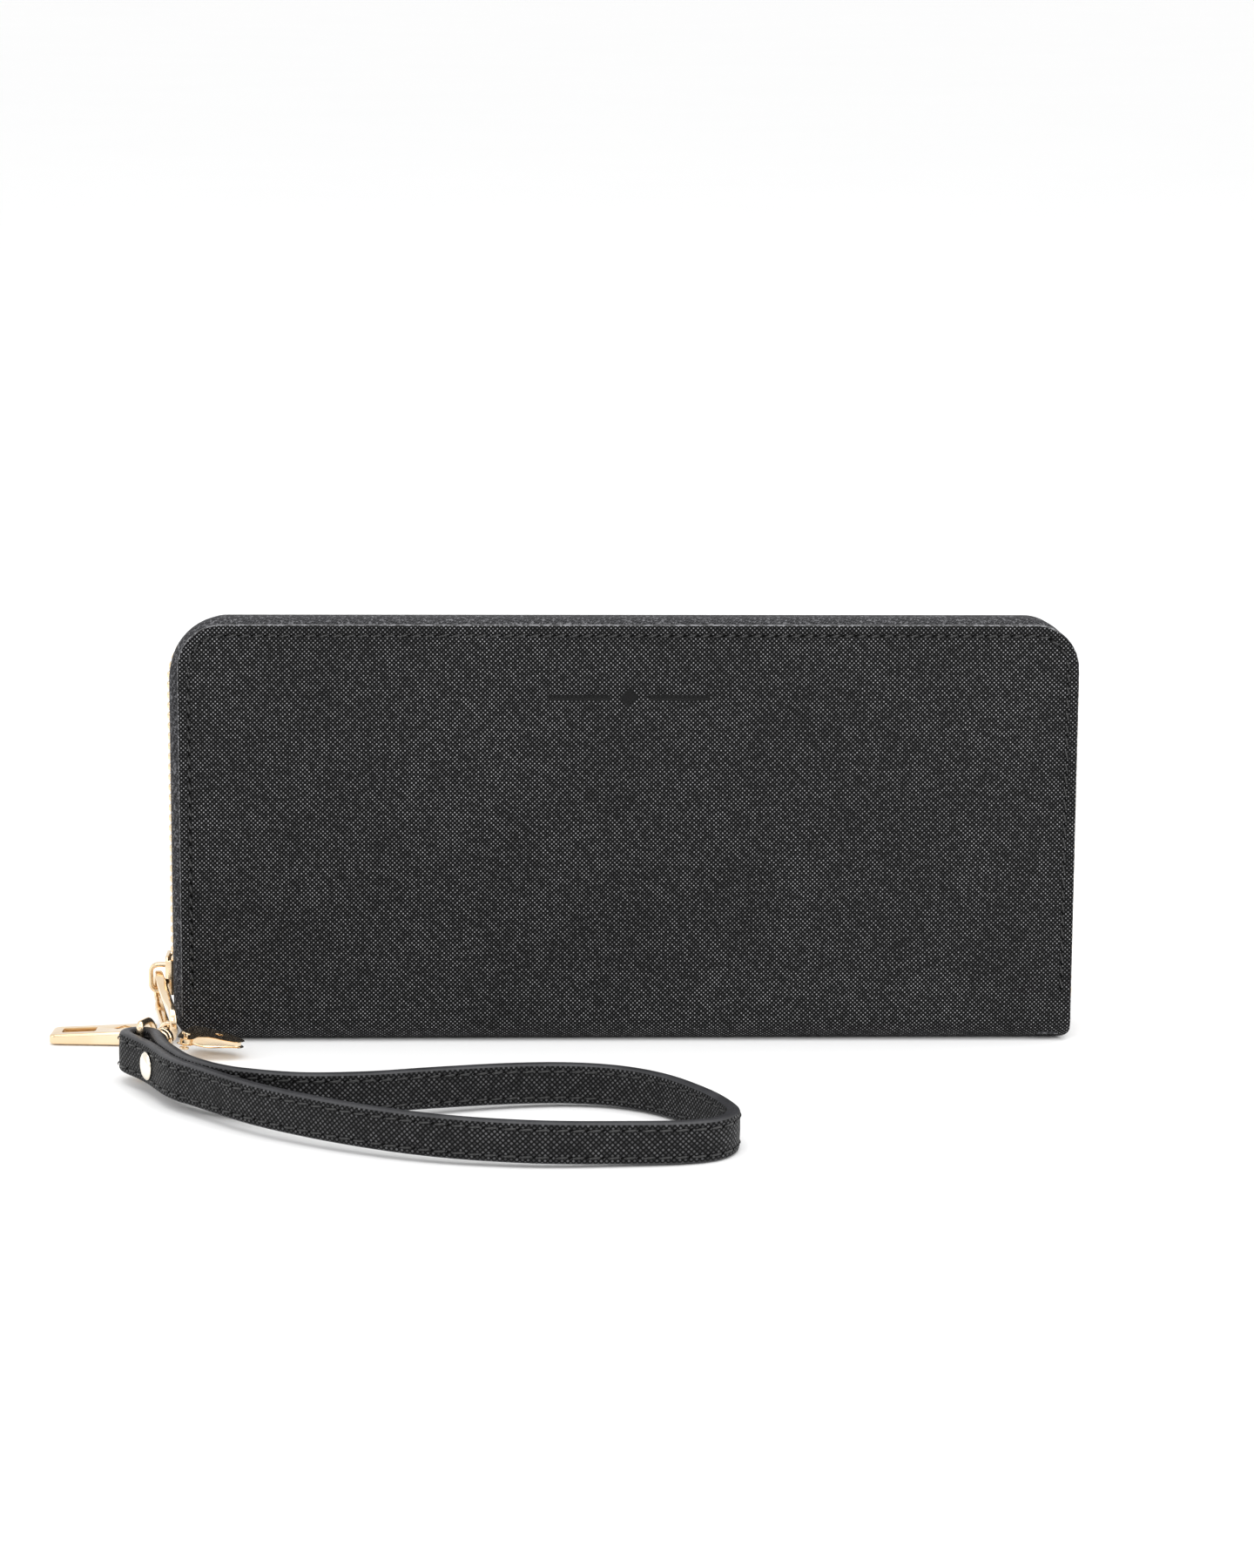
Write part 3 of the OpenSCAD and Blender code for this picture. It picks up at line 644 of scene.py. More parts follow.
def along_path(pts, step, start, end_gap):
    """Evenly spaced places on a polyline: distance along it, point and tangent."""
    s = arc_length(pts)
    total = s[-1]
    places = np.arange(start, total - end_gap, step)
    x = np.interp(places, s, pts[:, 0])
    z = np.interp(places, s, pts[:, 1])
    e = 0.4
    tx = np.interp(places + e, s, pts[:, 0]) - np.interp(places - e, s, pts[:, 0])
    tz = np.interp(places + e, s, pts[:, 1]) - np.interp(places - e, s, pts[:, 1])
    return places, np.stack([x, z], 1), unit(np.stack([tx, tz], 1))


def stitch(heap, mid, along, out, length=2.05, r=0.24, slant=0.17):
    """One stitch: a short thread lying in the groove, a little slanted and sunk at both ends."""
    along, out = unit(along), unit(out)
    side = np.cross(out, along)
    rings = []
    for t in (-1, -0.82, -0.4, 0.4, 0.82, 1):
        lift = 0.11 * (1 - abs(t) ** 3) - 0.16 * (abs(t) == 1)
        c = mid + along * t * length / 2 + side * slant * t + out * lift
        rr = r * (1 - 0.35 * abs(t) ** 3)
        sec = circle(rr, 6)
        rings.append(c + sec[:, :1] * side + sec[:, 1:] * out)
    v, f = loft(rings)
    heap.add(v, f)


def needle_hole_shade(heap, mid, along, out):
    """Painted shade of the needle hole between two stitches: a thin dark lens laid on the leather."""
    along, out = unit(along), unit(out)
    side = np.cross(out, along)
    rings = []
    for t, k in ((-1, 0.3), (-0.5, 0.85), (0.5, 0.85), (1, 0.3)):
        sec = circle(k, 8)
        centre = mid + along * t * 0.42 + side * (0.3 * t)
        rings.append(centre + sec[:, :1] * side * 0.3 + sec[:, 1:] * out * 0.07)
    v, f = loft(rings)
    heap.add(v, f, mat=1)


def cover_stitches(name, side, body):
    """The seam round a cover, stitch by stitch, each with a patch of painted shade at its needle hole."""
    seam_w = HALF_W - STITCH_IN
    pts, _ = u_path(-seam_w, seam_w, BODY_H - STITCH_IN, TOP_R - STITCH_IN, 11.5, 0.5)
    heap = Heap()
    _, mids, tans = along_path(pts, 2.9, 0.6, 1.0)
    for (x, z), (tx, tz) in zip(mids, tans):
        sunk = drop_at(side, z)
        t3, face = np.array([tx, 0, tz]), np.array([0, side, 0.0])
        at = np.array([x, side * (HALF_T - 0.13), z - sunk])
        stitch(heap, at, t3, face, 2.0, 0.27, 0.26)
        needle_hole_shade(heap, at + t3 * 1.45 - face * 0.06, t3, face)
    return heap.make(name, ["thread", "hole"], body=body, slot="cover_leather")


cover_stitches("front_cover_stitching", -1, "front_cover")
cover_stitches("back_cover_stitching", 1, "wallet_back")


# ---------- main zip ----------
def zip_tape(name, side, body, node):
    """Woven tape of one cover, folded under the teeth and closed against the other one at its foot."""
    pts, nor = u_path(-ZIP_LEFT, ZIP_RIGHT, ZIP_TOP, ZIP_R, TAPE_END, 1.5)
    prof = [(1.15, 2.7), (1.0, 3.2), (0.92, 4.4), (0.95, 6.5), (1.0, 8.6), (1.25, 10.1)]
    prof += [(1.9, 10.9), (3.2, 11.15), (6.5, 11.2)]
    rise = [0, -0.2, -0.5, -0.8, -1.1, -1.3, -1.3, -1.3, -1.3]
    if side < 0:
        rise = [0.15, 0.55, 1.35, 1.95, 1.75, 1.1, 0.5, 0.1, 0.0]
    t = 0.55
    rings, uvs = [], []
    s = arc_length(pts)
    for p, n, si in zip(pts, nor, s):
        up = max(n[1], 0.0) ** 1.5
        end = 2.2 * (1 - float(smooth01((p[1] - TAPE_END) / 4.5))) ** 2
        shut = 2.55 * (1 - float(smooth01((p[1] - 5.8) / 1.8)))
        outer = [(o - up * r + end, y - (shut if y < 4 else 0.0) * (4.4 - y) / 1.7)
                 for (o, y), r in zip(prof, rise)]
        inner = [(o + t * (0.9 if i < 6 else 0.3), y - t * (0.1 if i < 5 else 0.8))
                 for i, (o, y) in enumerate(outer)]
        ring = outer + inner[::-1]
        across = np.concatenate([[0], np.cumsum([math.dist(a, b) for a, b in zip(ring, ring[1:])])])
        rings.append([(p[0] - n[0] * o, side * y, p[1] - n[1] * o) for o, y in ring])
        uvs += [(si, a) for a in across]
    v, f = loft(rings)
    ob = piece(name, v, f, ["tape"], body=body, uv=uvs, sharp=50, slot="zip_tape")
    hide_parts(node)


zip_tape("front_zip_tape_woven", -1, "front_cover", "front_zip_tape")
zip_tape("back_zip_tape_woven", 1, "wallet_back", "back_zip_tape")


# one tooth from its root on the tape to its tip: [y, width along the zip, thickness]
TOOTH = ((3.42, 0.95, 1.7), (3.28, 1.25, 2.25), (2.2, 1.32, 2.4), (1.75, 1.32, 2.4), (1.45, 1.06, 2.1),
         (0.2, 1.0, 2.05), (-0.35, 1.1, 2.0), (-0.72, 0.85, 1.6), (-0.8, 0.5, 1.1))


def zip_row(name, side, body, node):
    """Separate teeth that mesh with the other row along the middle."""
    pts, _ = u_path(-ZIP_LEFT, ZIP_RIGHT, TEETH_TOP, ZIP_R, 9.0, 0.25)
    shift = 1.0 if side < 0 else 1.0 + PITCH / 2
    heap = Heap()
    places, mids, tans = along_path(pts, PITCH, shift, 3.2)
    sec = rounded_rect(1, 1, 0.24, 3)
    for place, (x, z), (tx, tz) in zip(places, mids, tans):
        t3 = np.array([tx, 0, tz])
        out = np.array([-tz, 0, tx])
        centre = np.array([x, 0, z]) - out * TOOTH_T / 2
        rings = []
        for y, wide, deep in TOOTH:
            c = centre + np.array([0, side * y, 0])
            bent = min(abs(tx), abs(tz)) > 0.03
            wedge = 1 + (sec[:, 1:] * deep - TOOTH_T / 2) / ZIP_R if bent else 1.0
            rings.append(c + sec[:, :1] * wide * wedge * t3 + sec[:, 1:] * deep * out)
        v, f = loft(rings)
        heap.add(v, f)
    ob = heap.make(name, ["teeth"], body=body, slot="light_gold", sharp=35)
    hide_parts(node)


zip_row("front_zip_row", -1, "front_cover", "front_zip_teeth")
zip_row("back_zip_row", 1, "wallet_back", "back_zip_teeth")


# ---------- solids for the metal fittings ----------
def spline(points, steps=6, closed=True):
    """Smooth curve through given points."""
    p = np.asarray(points, float)
    n = len(p)
    out = []
    for i in range(n if closed else n - 1):
        if closed:
            a, b, c, d = p[i - 1], p[i], p[(i + 1) % n], p[(i + 2) % n]
        else:
            a, b, c, d = p[max(i - 1, 0)], p[i], p[i + 1], p[min(i + 2, n - 1)]
        for k in range(steps):
            t = k / steps
            square, cube = 2 * a - 5 * b + 4 * c - d, 3 * b - a - 3 * c + d
            out.append(0.5 * (2 * b + (c - a) * t + square * t**2 + cube * t**3))
    if not closed:
        out.append(p[-1])
    return np.array(out)


def round_outline(points, r, seg=6):
    """Polygon (anticlockwise) with its corners rounded to radius r, one number or one per corner."""
    p = np.asarray(points, float)
    rs = np.broadcast_to(r, len(p))
    out = []
    for i in range(len(p)):
        a, b, c = p[i - 1], p[i], p[(i + 1) % len(p)]
        u, v = unit(a - b), unit(c - b)
        half = math.acos(np.clip(np.dot(u, v), -1, 1)) / 2
        reach = min(rs[i] / math.tan(half), 0.49 * np.linalg.norm(a - b), 0.49 * np.linalg.norm(c - b))
        if reach < 1e-3:
            out.append(b)
            continue
        start, end = b + u * reach, b + v * reach
        for k in range(seg + 1):
            t = k / seg
            out.append((1 - t) ** 2 * start + 2 * t * (1 - t) * b + t**2 * end)
    return np.array(out)


def cushion(outline, low, high, r, steps=4, crown=0.0):
    """Prism over an anticlockwise outline with rounded rims; low and high may vary over the outline."""
    p = np.asarray(outline, float)
    d = np.roll(p, -1, 0) - np.roll(p, 1, 0)
    nor = unit(np.stack([d[:, 1], -d[:, 0]], 1))
    lo = np.array([low(*q) if callable(low) else low for q in p])
    hi = np.array([high(*q) if callable(high) else high for q in p])
    rings = []
    for k in range(steps + 1):
        a = math.pi / 2 * (1 - k / steps)
        q = p - nor * r * (1 - math.cos(a))
        rings.append(np.column_stack([q, lo + r * (1 - math.sin(a))]))
    for k in range(steps + 1):
        a = math.pi / 2 * k / steps
        q = p - nor * r * (1 - math.cos(a))
        rings.append(np.column_stack([q, hi - r * (1 - math.sin(a))]))
    if crown:
        centre = p.mean(0)
        for share in (0.75, 0.45, 0.15):
            q = centre + (p - nor * r - centre) * share
            rings.append(np.column_stack([q, hi + crown * (1 - share**2)]))
    return loft(rings)


def turned(verts, origin, matrix):
    return np.asarray(origin, float) + np.asarray(verts, float) @ np.asarray(matrix, float).T


def rot(axis, degrees):
    return np.array(Matrix.Rotation(math.radians(degrees), 3, axis))


def carve(ob, cutters, bevel=0.2, segments=3):
    """Cuts millimetre solids out of a piece, then softens its hard edges."""
    hidden = []
    for v, f in cutters:
        me = bpy.data.meshes.new("cutter")
        me.from_pydata([tuple(p) for p in np.asarray(v) * MM], [], f)
        bm = bmesh.new()
        bm.from_mesh(me)
        bmesh.ops.recalc_face_normals(bm, faces=bm.faces)
        bm.to_mesh(me)
        bm.free()
        c = bpy.data.objects.new("cutter", me)
        bpy.context.scene.collection.objects.link(c)
        m = ob.modifiers.new("cut", "BOOLEAN")
        m.operation, m.object, m.solver = "DIFFERENCE", c, "EXACT"
        hidden.append(c)
    if bevel:
        soften(ob, bevel, segments)
    bake_modifiers(ob)
    for c in hidden:
        bpy.data.objects.remove(c)


def soften(ob, width, segments=2, angle=32):
    m = ob.modifiers.new("soft", "BEVEL")
    m.width = width * MM
    m.segments = segments
    m.limit_method = "ANGLE"
    m.angle_limit = math.radians(angle)
    m.use_clamp_overlap = True
    m.harden_normals = False


def bake_modifiers(ob):
    graph = bpy.context.evaluated_depsgraph_get()
    graph.update()
    me = bpy.data.meshes.new_from_object(ob.evaluated_get(graph))
    old = ob.data
    ob.modifiers.clear()
    ob.data = me
    me.name = old.name
    me.shade_smooth()
    me.set_sharp_from_angle(angle=math.radians(35))


# ---------- main zip slider ----------
SLIDER_Z = 7.8  # foot of the slider
PLATE = 0.9  # thickness of its plates
SLIDER_X = -ZIP_LEFT - 0.3 - PLATE
INNER_X = -ZIP_LEFT + TOOTH_T + 0.3

plate = [(-3.4, 0), (3.4, 0), (4.3, 1.2), (4.3, 5), (3.9, 9.2), (3.1, 10)]
plate += [(-3.1, 10), (-3.9, 9.2), (-4.3, 5), (-4.3, 1.2)]
slider = Heap()
for x0, sign in ((SLIDER_X, -1), (INNER_X, 1)):
    v, f = cushion(round_outline(plate, 1.2), 0, PLATE, 0.32, crown=0.12)
    v[:, 2] = v[:, 2] if sign > 0 else PLATE - v[:, 2]
    slider.add(np.column_stack([x0 + v[:, 2], v[:, 0], SLIDER_Z + v[:, 1]]), f)
for s in (-1, 1):
    for x0, x1 in ((SLIDER_X + 0.1, -ZIP_LEFT + 0.6), (-ZIP_LEFT + 1.8, INNER_X + PLATE - 0.1)):
        rail = round_outline([(3.3, 0.9), (4.3, 1.2), (4.3, 5), (3.95, 9), (3.3, 9.2)], 0.3)
        v, f = cushion(rail, x0, x1, 0.15, 2)
        slider.add(np.column_stack([v[:, 2], s * v[:, 0], SLIDER_Z + v[:, 1]]), f)
post = round_outline([(-0.42, 0.3), (0.42, 0.3), (0.42, 2.9), (-0.42, 2.9)], 0.3)
v, f = cushion(post, SLIDER_X + 0.2, INNER_X + 0.5, 0.1, 2)
slider.add(np.column_stack([v[:, 2], v[:, 0], SLIDER_Z + v[:, 1]]), f)
slider_piece = slider.make("zip_slider_shell", ["gold"], body="zip_slider", slot="light_gold")
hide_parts("slider_body")

out_x = SLIDER_X - 3.5
low_z, high_z = SLIDER_Z + 1.3, SLIDER_Z + 7.3
root_x = SLIDER_X + 0.3
bow = [(root_x, low_z), (out_x, low_z), (out_x, high_z), (root_x, high_z)]
bow = round_outline(bow, [0, 2.3, 2.3, 0], 8)
path = np.column_stack([bow[:, 0], np.zeros(len(bow)), bow[:, 1]])
v, f = loft(sweep(path, (0, 1, 0), rounded_rect(1.9, 1.0, 0.36, 4)))
bridge_piece = piece("zip_slider_bridge_loop", v, f, ["gold"], body="zip_slider", slot="light_gold")
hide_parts("slider_bridge")

# ---------- carrier ring ----------
EYE = np.array([-106.8, -45.5, 7.0])  # where the strap passes through the clasp
YAW, TIP, ROLL = 75.5, 4.5, 8.0  # how the clasp lies, in degrees
along = np.array([math.cos(math.radians(YAW)), math.sin(math.radians(YAW))])
aside = np.array([-along[1], along[0]])
ring_far = np.array([SLIDER_X - 2.4, 2.6, 10.4])
ring_near = np.array([*(EYE[:2] + 26.8 * along + 1.4 * aside), 4.9])
ring_axis = unit(ring_near - ring_far)
ring_len = np.linalg.norm(ring_near - ring_far)
RING_R = 3.5  # its round ends
lift = unit(np.array([0, 0, 1.0]) - ring_axis[2] * ring_axis)
ring_side = np.cross(ring_axis, lift)
half = []
for a in np.linspace(-90, 90, 25):
    a = math.radians(a)
    half.append((ring_len - RING_R + RING_R * math.cos(a), RING_R * math.sin(a)))
for t in np.linspace(0, 1, 8)[1:-1]:
    half.append((ring_len - RING_R - t * (ring_len - 2 * RING_R), RING_R))
for a in np.linspace(90, 270, 25):
    a = math.radians(a)
    half.append((RING_R + RING_R * math.cos(a), RING_R * math.sin(a)))
for t in np.linspace(0, 1, 8)[1:-1]:
    half.append((RING_R + t * (ring_len - 2 * RING_R), -RING_R))
half = np.array(half)
path = ring_far + half[:, :1] * ring_axis + half[:, 1:] * lift
left = -1.0 if ring_side[0] > 0 else 1.0
bands = []
for run in half[:, 0]:
    extra_w = 0.5 * float(smooth01((run - 3.0) / 3) * smooth01((ring_len - 4 - run) / 3))
    bands.append(rounded_rect(1.6 + extra_w, 1.5, 0.42, 4) + np.array([left * extra_w / 2, 0]))
v, f = loft(sweep(path, ring_side, np.array(bands), closed=True), closed=True)
ring_piece = piece("carrier_ring_band", v, f, ["gold"], body="ring", slot="light_gold")
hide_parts("carrier_ring")

# ---------- bar puller ----------
share = (-12.6 - ring_far[1]) / (ring_near - ring_far)[1]
puller_eye = np.array([ring_far[0] + share * (ring_near - ring_far)[0], -12.6,
                       ring_far[2] + share * (ring_near - ring_far)[2] - RING_R - 0.1])
turn = rot("Z", 176)
low = 0.25 - puller_eye[2]
BAR_FROM, BAR_L, BAR_W = 2.9, 23.5, 8.0  # gap from the eye, length, width
BAR_END = BAR_FROM + BAR_L


def bar_top(x, _=0):
    return low + 3.55 - 1.35 * (x - BAR_FROM) / BAR_L


bar = [(BAR_FROM, -BAR_W / 2), (BAR_END, -BAR_W / 2), (BAR_END, BAR_W / 2), (BAR_FROM, BAR_W / 2)]
bar = round_outline(bar, 1.5, 8)
v, f = cushion(bar, low, bar_top, 0.62, 6)
v = turned(v, puller_eye, turn)
puller_piece = piece("bar_puller_plate", v, f, ["gold"], body="puller", slot="light_gold")
wx = BAR_END - 10.2
window = round_outline([(wx, -2), (wx + 7.6, -2), (wx + 7.6, 2), (wx, 2)], 0.7, 5)
v, f = cushion(window, low - 1, low + 6, 0.01, 1)
cut_window = (turned(v, puller_eye, turn), f)
lx = BAR_END - 16.4
lozenge = np.array([(lx + 2.3, 0), (lx, 2.3), (lx - 2.3, 0), (lx, -2.3)])
v, f = cushion(lozenge, bar_top(lx) - 0.3, bar_top(lx) + 2, 0.01, 1)
cut_lozenge = (turned(v, puller_eye, turn), f)
carve(puller_piece, [cut_window, cut_lozenge], 0.22, 3)
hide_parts("bar_puller")
eye_ring = Heap()
prof = rounded_rect(1.3, 0.85, 0.3, 4)
rings = []
for a in np.linspace(0, 2 * math.pi, 40, endpoint=False):
    d = np.array([math.cos(a), 0, math.sin(a)])
    rings.append(d * 1.72 + prof[:, :1] * np.array([0, 1, 0]) + prof[:, 1:] * d)
v, f = loft(rings, closed=True)
eye_ring.add(turned(v, puller_eye, turn), f)
neck = round_outline([(1.75, -0.65), (3.6, -0.65), (3.6, 0.65), (1.75, 0.65)], 0.1)
v, f = cushion(neck, low + 0.5, low + 3.0, 0.25, 3)
eye_ring.add(turned(v, puller_eye, turn), f)
eye_ring.make("bar_puller_eye", ["gold"], body="puller", slot="light_gold")

# ---------- swivel clasp ----------
FRAME0 = rot("Z", YAW) @ rot("Y", TIP)
FRAME = FRAME0 @ rot("X", ROLL)
EYE_HALF, EYE_RUN, BARREL = 5.7, 4.2, 12.2  # dee: half width, straight run; foot of the barrel
BOW_X, BOW_MID = 28.0, 3.85  # the claw's bow: centre, radius

pts = [(0, -EYE_HALF), (EYE_RUN, -EYE_HALF)]
bend = np.radians(np.arange(-80, 81, 10))
pts += [(EYE_RUN + EYE_HALF * math.cos(a), EYE_HALF * math.sin(a)) for a in bend]
pts += [(EYE_RUN, EYE_HALF), (0, EYE_HALF)]
dee = round_outline(pts, [0.9] + [0.0] * (len(pts) - 2) + [0.9], 5)
extra = []
for i in range(len(dee)):
    a, b = dee[i], dee[(i + 1) % len(dee)]
    count = max(1, int(np.linalg.norm(b - a) / 1.2))
    extra += [a + (b - a) * k / count for k in range(count)]
dee = np.array(extra)
path = np.column_stack([dee[:, 0], np.zeros(len(dee)), dee[:, 1]])
v, f = loft(sweep(path, (0, 1, 0), circle(0.8, 14), closed=True), closed=True)
swivel = Heap()
swivel.add(turned(v, EYE, FRAME0), f)
tip_x = EYE_RUN + EYE_HALF
stud = [(0, tip_x - 0.9), (1.3, tip_x - 0.7), (1.5, tip_x), (1.3, tip_x + 0.6), (1.0, tip_x + 1.0)]
stud += [(1.0, BARREL + 1.4), (1.6, BARREL + 1.5), (1.6, BARREL + 2.6), (0, BARREL + 2.7)]
v, f = lathe(stud, (0, 0, 0), (1, 0, 0), 32)
swivel.add(turned(v, EYE, FRAME0), f)
swivel_piece = swivel.make("clasp_swivel_dee", ["gold"], body="swivel_eye", slot="light_gold", sharp=45)
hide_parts("clasp_swivel_eye")

clasp = Heap()
barrel = [(1.28, 2.9), (1.28, 0.35), (1.5, 0.02), (2.1, 0), (2.42, 0.2), (2.5, 0.6), (2.5, 1.3),
          (2.32, 1.5), (2.32, 1.75), (2.5, 1.95), (2.5, 3.4), (2.3, 3.75), (1.9, 4.2), (1.7, 4.9),
          (0, 5.0)]
v, f = lathe([(r, BARREL + run) for r, run in barrel], (0, 0, 0), (1, 0, 0), 48)
clasp.add(turned(v, EYE, FRAME), f)
arm = [(16.4, -4.6), (16.3, -2.4), (16.25, 0.4), (16.9, 2.5), (18.8, 3.7)]
arm += [(21.5, BOW_MID), (25, BOW_MID), (BOW_X, BOW_MID)]
hook = np.radians(np.arange(15, 151, 15))
arm += [(BOW_X + BOW_MID * math.sin(a), BOW_MID * math.cos(a)) for a in hook]
arm += [(BOW_X + 1.75, -3.52)]
arm = spline(arm, 5, closed=False)
s = arc_length(arm)
share = s / s[-1]
secs = []
for t in share:
    nose = 1 - 0.45 * smooth01((t - 0.86) / 0.14)
    wide = 2.1 + 0.9 * (1 - smooth01(t / 0.25)) * 0.6
    secs.append(rounded_rect(3.0 * nose, wide * nose, 0.85 * nose, 5))
path = np.column_stack([arm, np.zeros(len(arm))])
v, f = loft(sweep(path, (0, 0, 1), np.array(secs)))
clasp.add(turned(v, EYE, FRAME), f)
cheek = [(15.6, -3.2), (18.9, -5.6), (19.0, 0.6), (17.6, 3.2), (15.6, 3.0)]
v, f = cushion(round_outline(cheek, [0.8, 1.2, 0.8, 1.0, 1.2]), -1.5, 1.5, 0.5, 4)
clasp.add(turned(v, EYE, FRAME), f)
clasp_piece = clasp.make("clasp_claw_and_barrel", ["gold"], body="clasp", slot="light_gold")
slot_outline = round_outline([(16.6, -7.6), (21, -7.6), (21, -2.9), (16.4, -2.9)], 0.2)
v, f = cushion(slot_outline, -0.85, 0.85, 0.01, 1)
carve(clasp_piece, [(turned(v, EYE, FRAME), f)], 0)
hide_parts("clasp_body")

PIVOT = np.array([17.8, -4.5, 0])
lever = [(-1.25, 0.1), (-0.7, 1.05), (1.5, 1.3), (5.0, 1.25), (8.6, 1.15), (10.2, 0.75), (10.6, -0.4),
         (10.3, -2.4), (9.7, -5.0), (9.0, -8.0), (7.8, -10.2), (6.3, -10.9), (4.8, -10.3), (3.8, -8.0),
         (3.0, -4.8), (2.0, -2.4), (1.0, -1.35), (-0.6, -1.1)]
lever = spline(lever, 5)
v, f = cushion(lever, -1.3, 1.3, 0.62, 6, crown=0.12)
v[:, 2] = v[:, 2] * np.interp(v[:, 0], [0.4, 2.4], [0.56, 1.0])
taper = smooth01((-v[:, 1] - 3.5) / 7)
v[:, 2] = 1.3 - (1.3 - v[:, 2]) * (1 - 0.48 * taper) - 0.3 * taper
v += PIVOT
v = turned(v, EYE, FRAME)
lever_piece = piece("clasp_gate_lever", v, f, ["gold"], body="clasp_gate", slot="light_gold")
hole = circle(0.9, 24) + np.array([24.5, -10.0])
v, f = cushion(hole, -4, 4, 0.01, 1)
carve(lever_piece, [(turned(v, EYE, FRAME), f)], 0.18, 3)
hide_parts("clasp_lever")

pin = [(0, -2.05), (0.8, -1.98), (1.0, -1.8), (1.0, -1.5), (0.5, -1.45)]
pin += [(r, -run) for r, run in reversed(pin)]
v, f = lathe(pin, (0, 0, 0), (0, 0, 1), 24)
v = turned(v + PIVOT, EYE, FRAME)
pin_piece = piece("clasp_pivot_pin", v, f, ["gold"], body="clasp", slot="light_gold")
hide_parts("clasp_lever_pin")

# ---------- wrist strap ----------
STRAP_W, STRAP_T = 8.8, 3.0  # width, thickness
STRAP_LIFT, STRAP_FAR = 2.55, 20.0  # rise at the clasp, and where it is down on the table
HEAD = np.array([math.cos(math.radians(-65.5)), math.sin(math.radians(-65.5))])
ACROSS = np.array([-HEAD[1], HEAD[0]])
tilt = math.atan(STRAP_LIFT / (STRAP_FAR - EYE[0]))


def spot(s, side):
    return EYE[:2] + s * HEAD + side * ACROSS


FOLD = 1.6 + STRAP_T / 2
around = [math.radians(a) for a in range(90, 271, 36)]
route = [spot(FOLD * math.cos(a), FOLD * math.sin(a)) for a in around]
near_run = ((2.2, -2.95), (5, -2.4), (8.5, -1.85), (12.5, -1.57), (17, -1.58), (22, -1.5), (27, -0.6))
route += [spot(*p) for p in near_run]
table_run = ((-93, -73.5), (-79, -88), (-61, -100.5), (-42, -109), (-22, -112.6), (-3, -112), (9, -110.6),
             (15.8, -107.4), (18.9, -101), (17.6, -94), (13.4, -85), (6, -74.8), (-3, -68.6), (-14, -66.4),
             (-27, -67.8), (-43, -72.2), (-57, -76.6), (-71, -78.2), (-83, -75.4))
route += [np.array(p) for p in table_run]
far_run = ((32, 5.4), (27, 3.2), (22, 1.85), (17, 1.58), (12.5, 1.57), (8.5, 1.85), (5, 2.4), (2.2, 2.95))
route += [spot(*p) for p in far_run]
centre = spline(route, 24)
length = arc_length(centre, closed=True)
total = length[-1]
count = int(total / 0.55)
even = np.arange(count) * total / count
loop = np.vstack([centre, centre[:1]])
centre = np.stack([np.interp(even, length, loop[:, 0]), np.interp(even, length, loop[:, 1])], 1)
tang = unit(np.roll(centre, -1, 0) - np.roll(centre, 1, 0))
outward = np.stack([tang[:, 1], -tang[:, 0]], 1)


def strap_point(xy, h):
    """Strap coordinates to the row frame: the band leans down towards the far end of the loop."""
    p = np.column_stack([xy, np.broadcast_to(h, len(xy))])
    lean = rot("Y", math.degrees(tilt))
    return p @ lean.T + np.array([0, 0, STRAP_LIFT * STRAP_FAR / (STRAP_FAR - EYE[0])])


STRAP_SEAM = 1.55  # seam, in from the strap's edge
STITCH_H = (STRAP_SEAM, STRAP_W - STRAP_SEAM)


def strap_section(side):
    """Half of the strap: [off, height, material] from the seam line round one face; side 1 is outward."""
    pts = [(0.0, 0.0, 1), (0.55, 0.0, 1), (1.0, 0.12, 1), (1.3, 0.38, 1), (1.42, 0.62, 0)]
    hs = [0.9, 1.2, 1.4, 1.55, 1.7, 1.9, 2.3, 3.0, 3.8, 4.4]
    for h in hs:
        groove = 0.12 * math.exp(-((h - STRAP_SEAM) / 0.3) ** 2)
        pts.append((1.47 + 0.05 * smooth01((h - 2) / 2.4) - groove, h, 0))
    mirror = [(o, STRAP_W - h, m) for o, h, m in reversed(pts)]
    pts = pts + mirror[1:]
    return [(side * o + side * 0.01, h, m) for o, h, m in pts]


def strap_half(name, side, node):
    sec = strap_section(side)
    n, m = count, len(sec)
    across = np.concatenate([[0], np.cumsum([math.dist(a[:2], b[:2]) for a, b in zip(sec, sec[1:])])])
    lines = [strap_point(centre + outward * o, h)[:, None] for o, h, _ in sec]
    verts = np.concatenate(lines, axis=1).reshape(-1, 3)
    faces, mats = [], []
    for i in range(n):
        j = (i + 1) % n
        for k in range(m - 1):
            faces.append((i * m + k, i * m + k + 1, j * m + k + 1, j * m + k))
            mats.append(1 if sec[k][2] == 1 and sec[k + 1][2] == 1 else 0)
        faces.append((i * m + m - 1, i * m, j * m, j * m + m - 1))
        mats.append(0)
    uv = [(s, a) for s in even for a in across]
    ob = piece(name, verts, faces, ["strap", "edge"], "strap", uv, mats, 60, "cover_leather", total)
    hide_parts(node)
    return ob


strap_half("strap_outer_hide", 1, "strap_outer_leather")
strap_half("strap_inner_hide", -1, "strap_inner_leather")

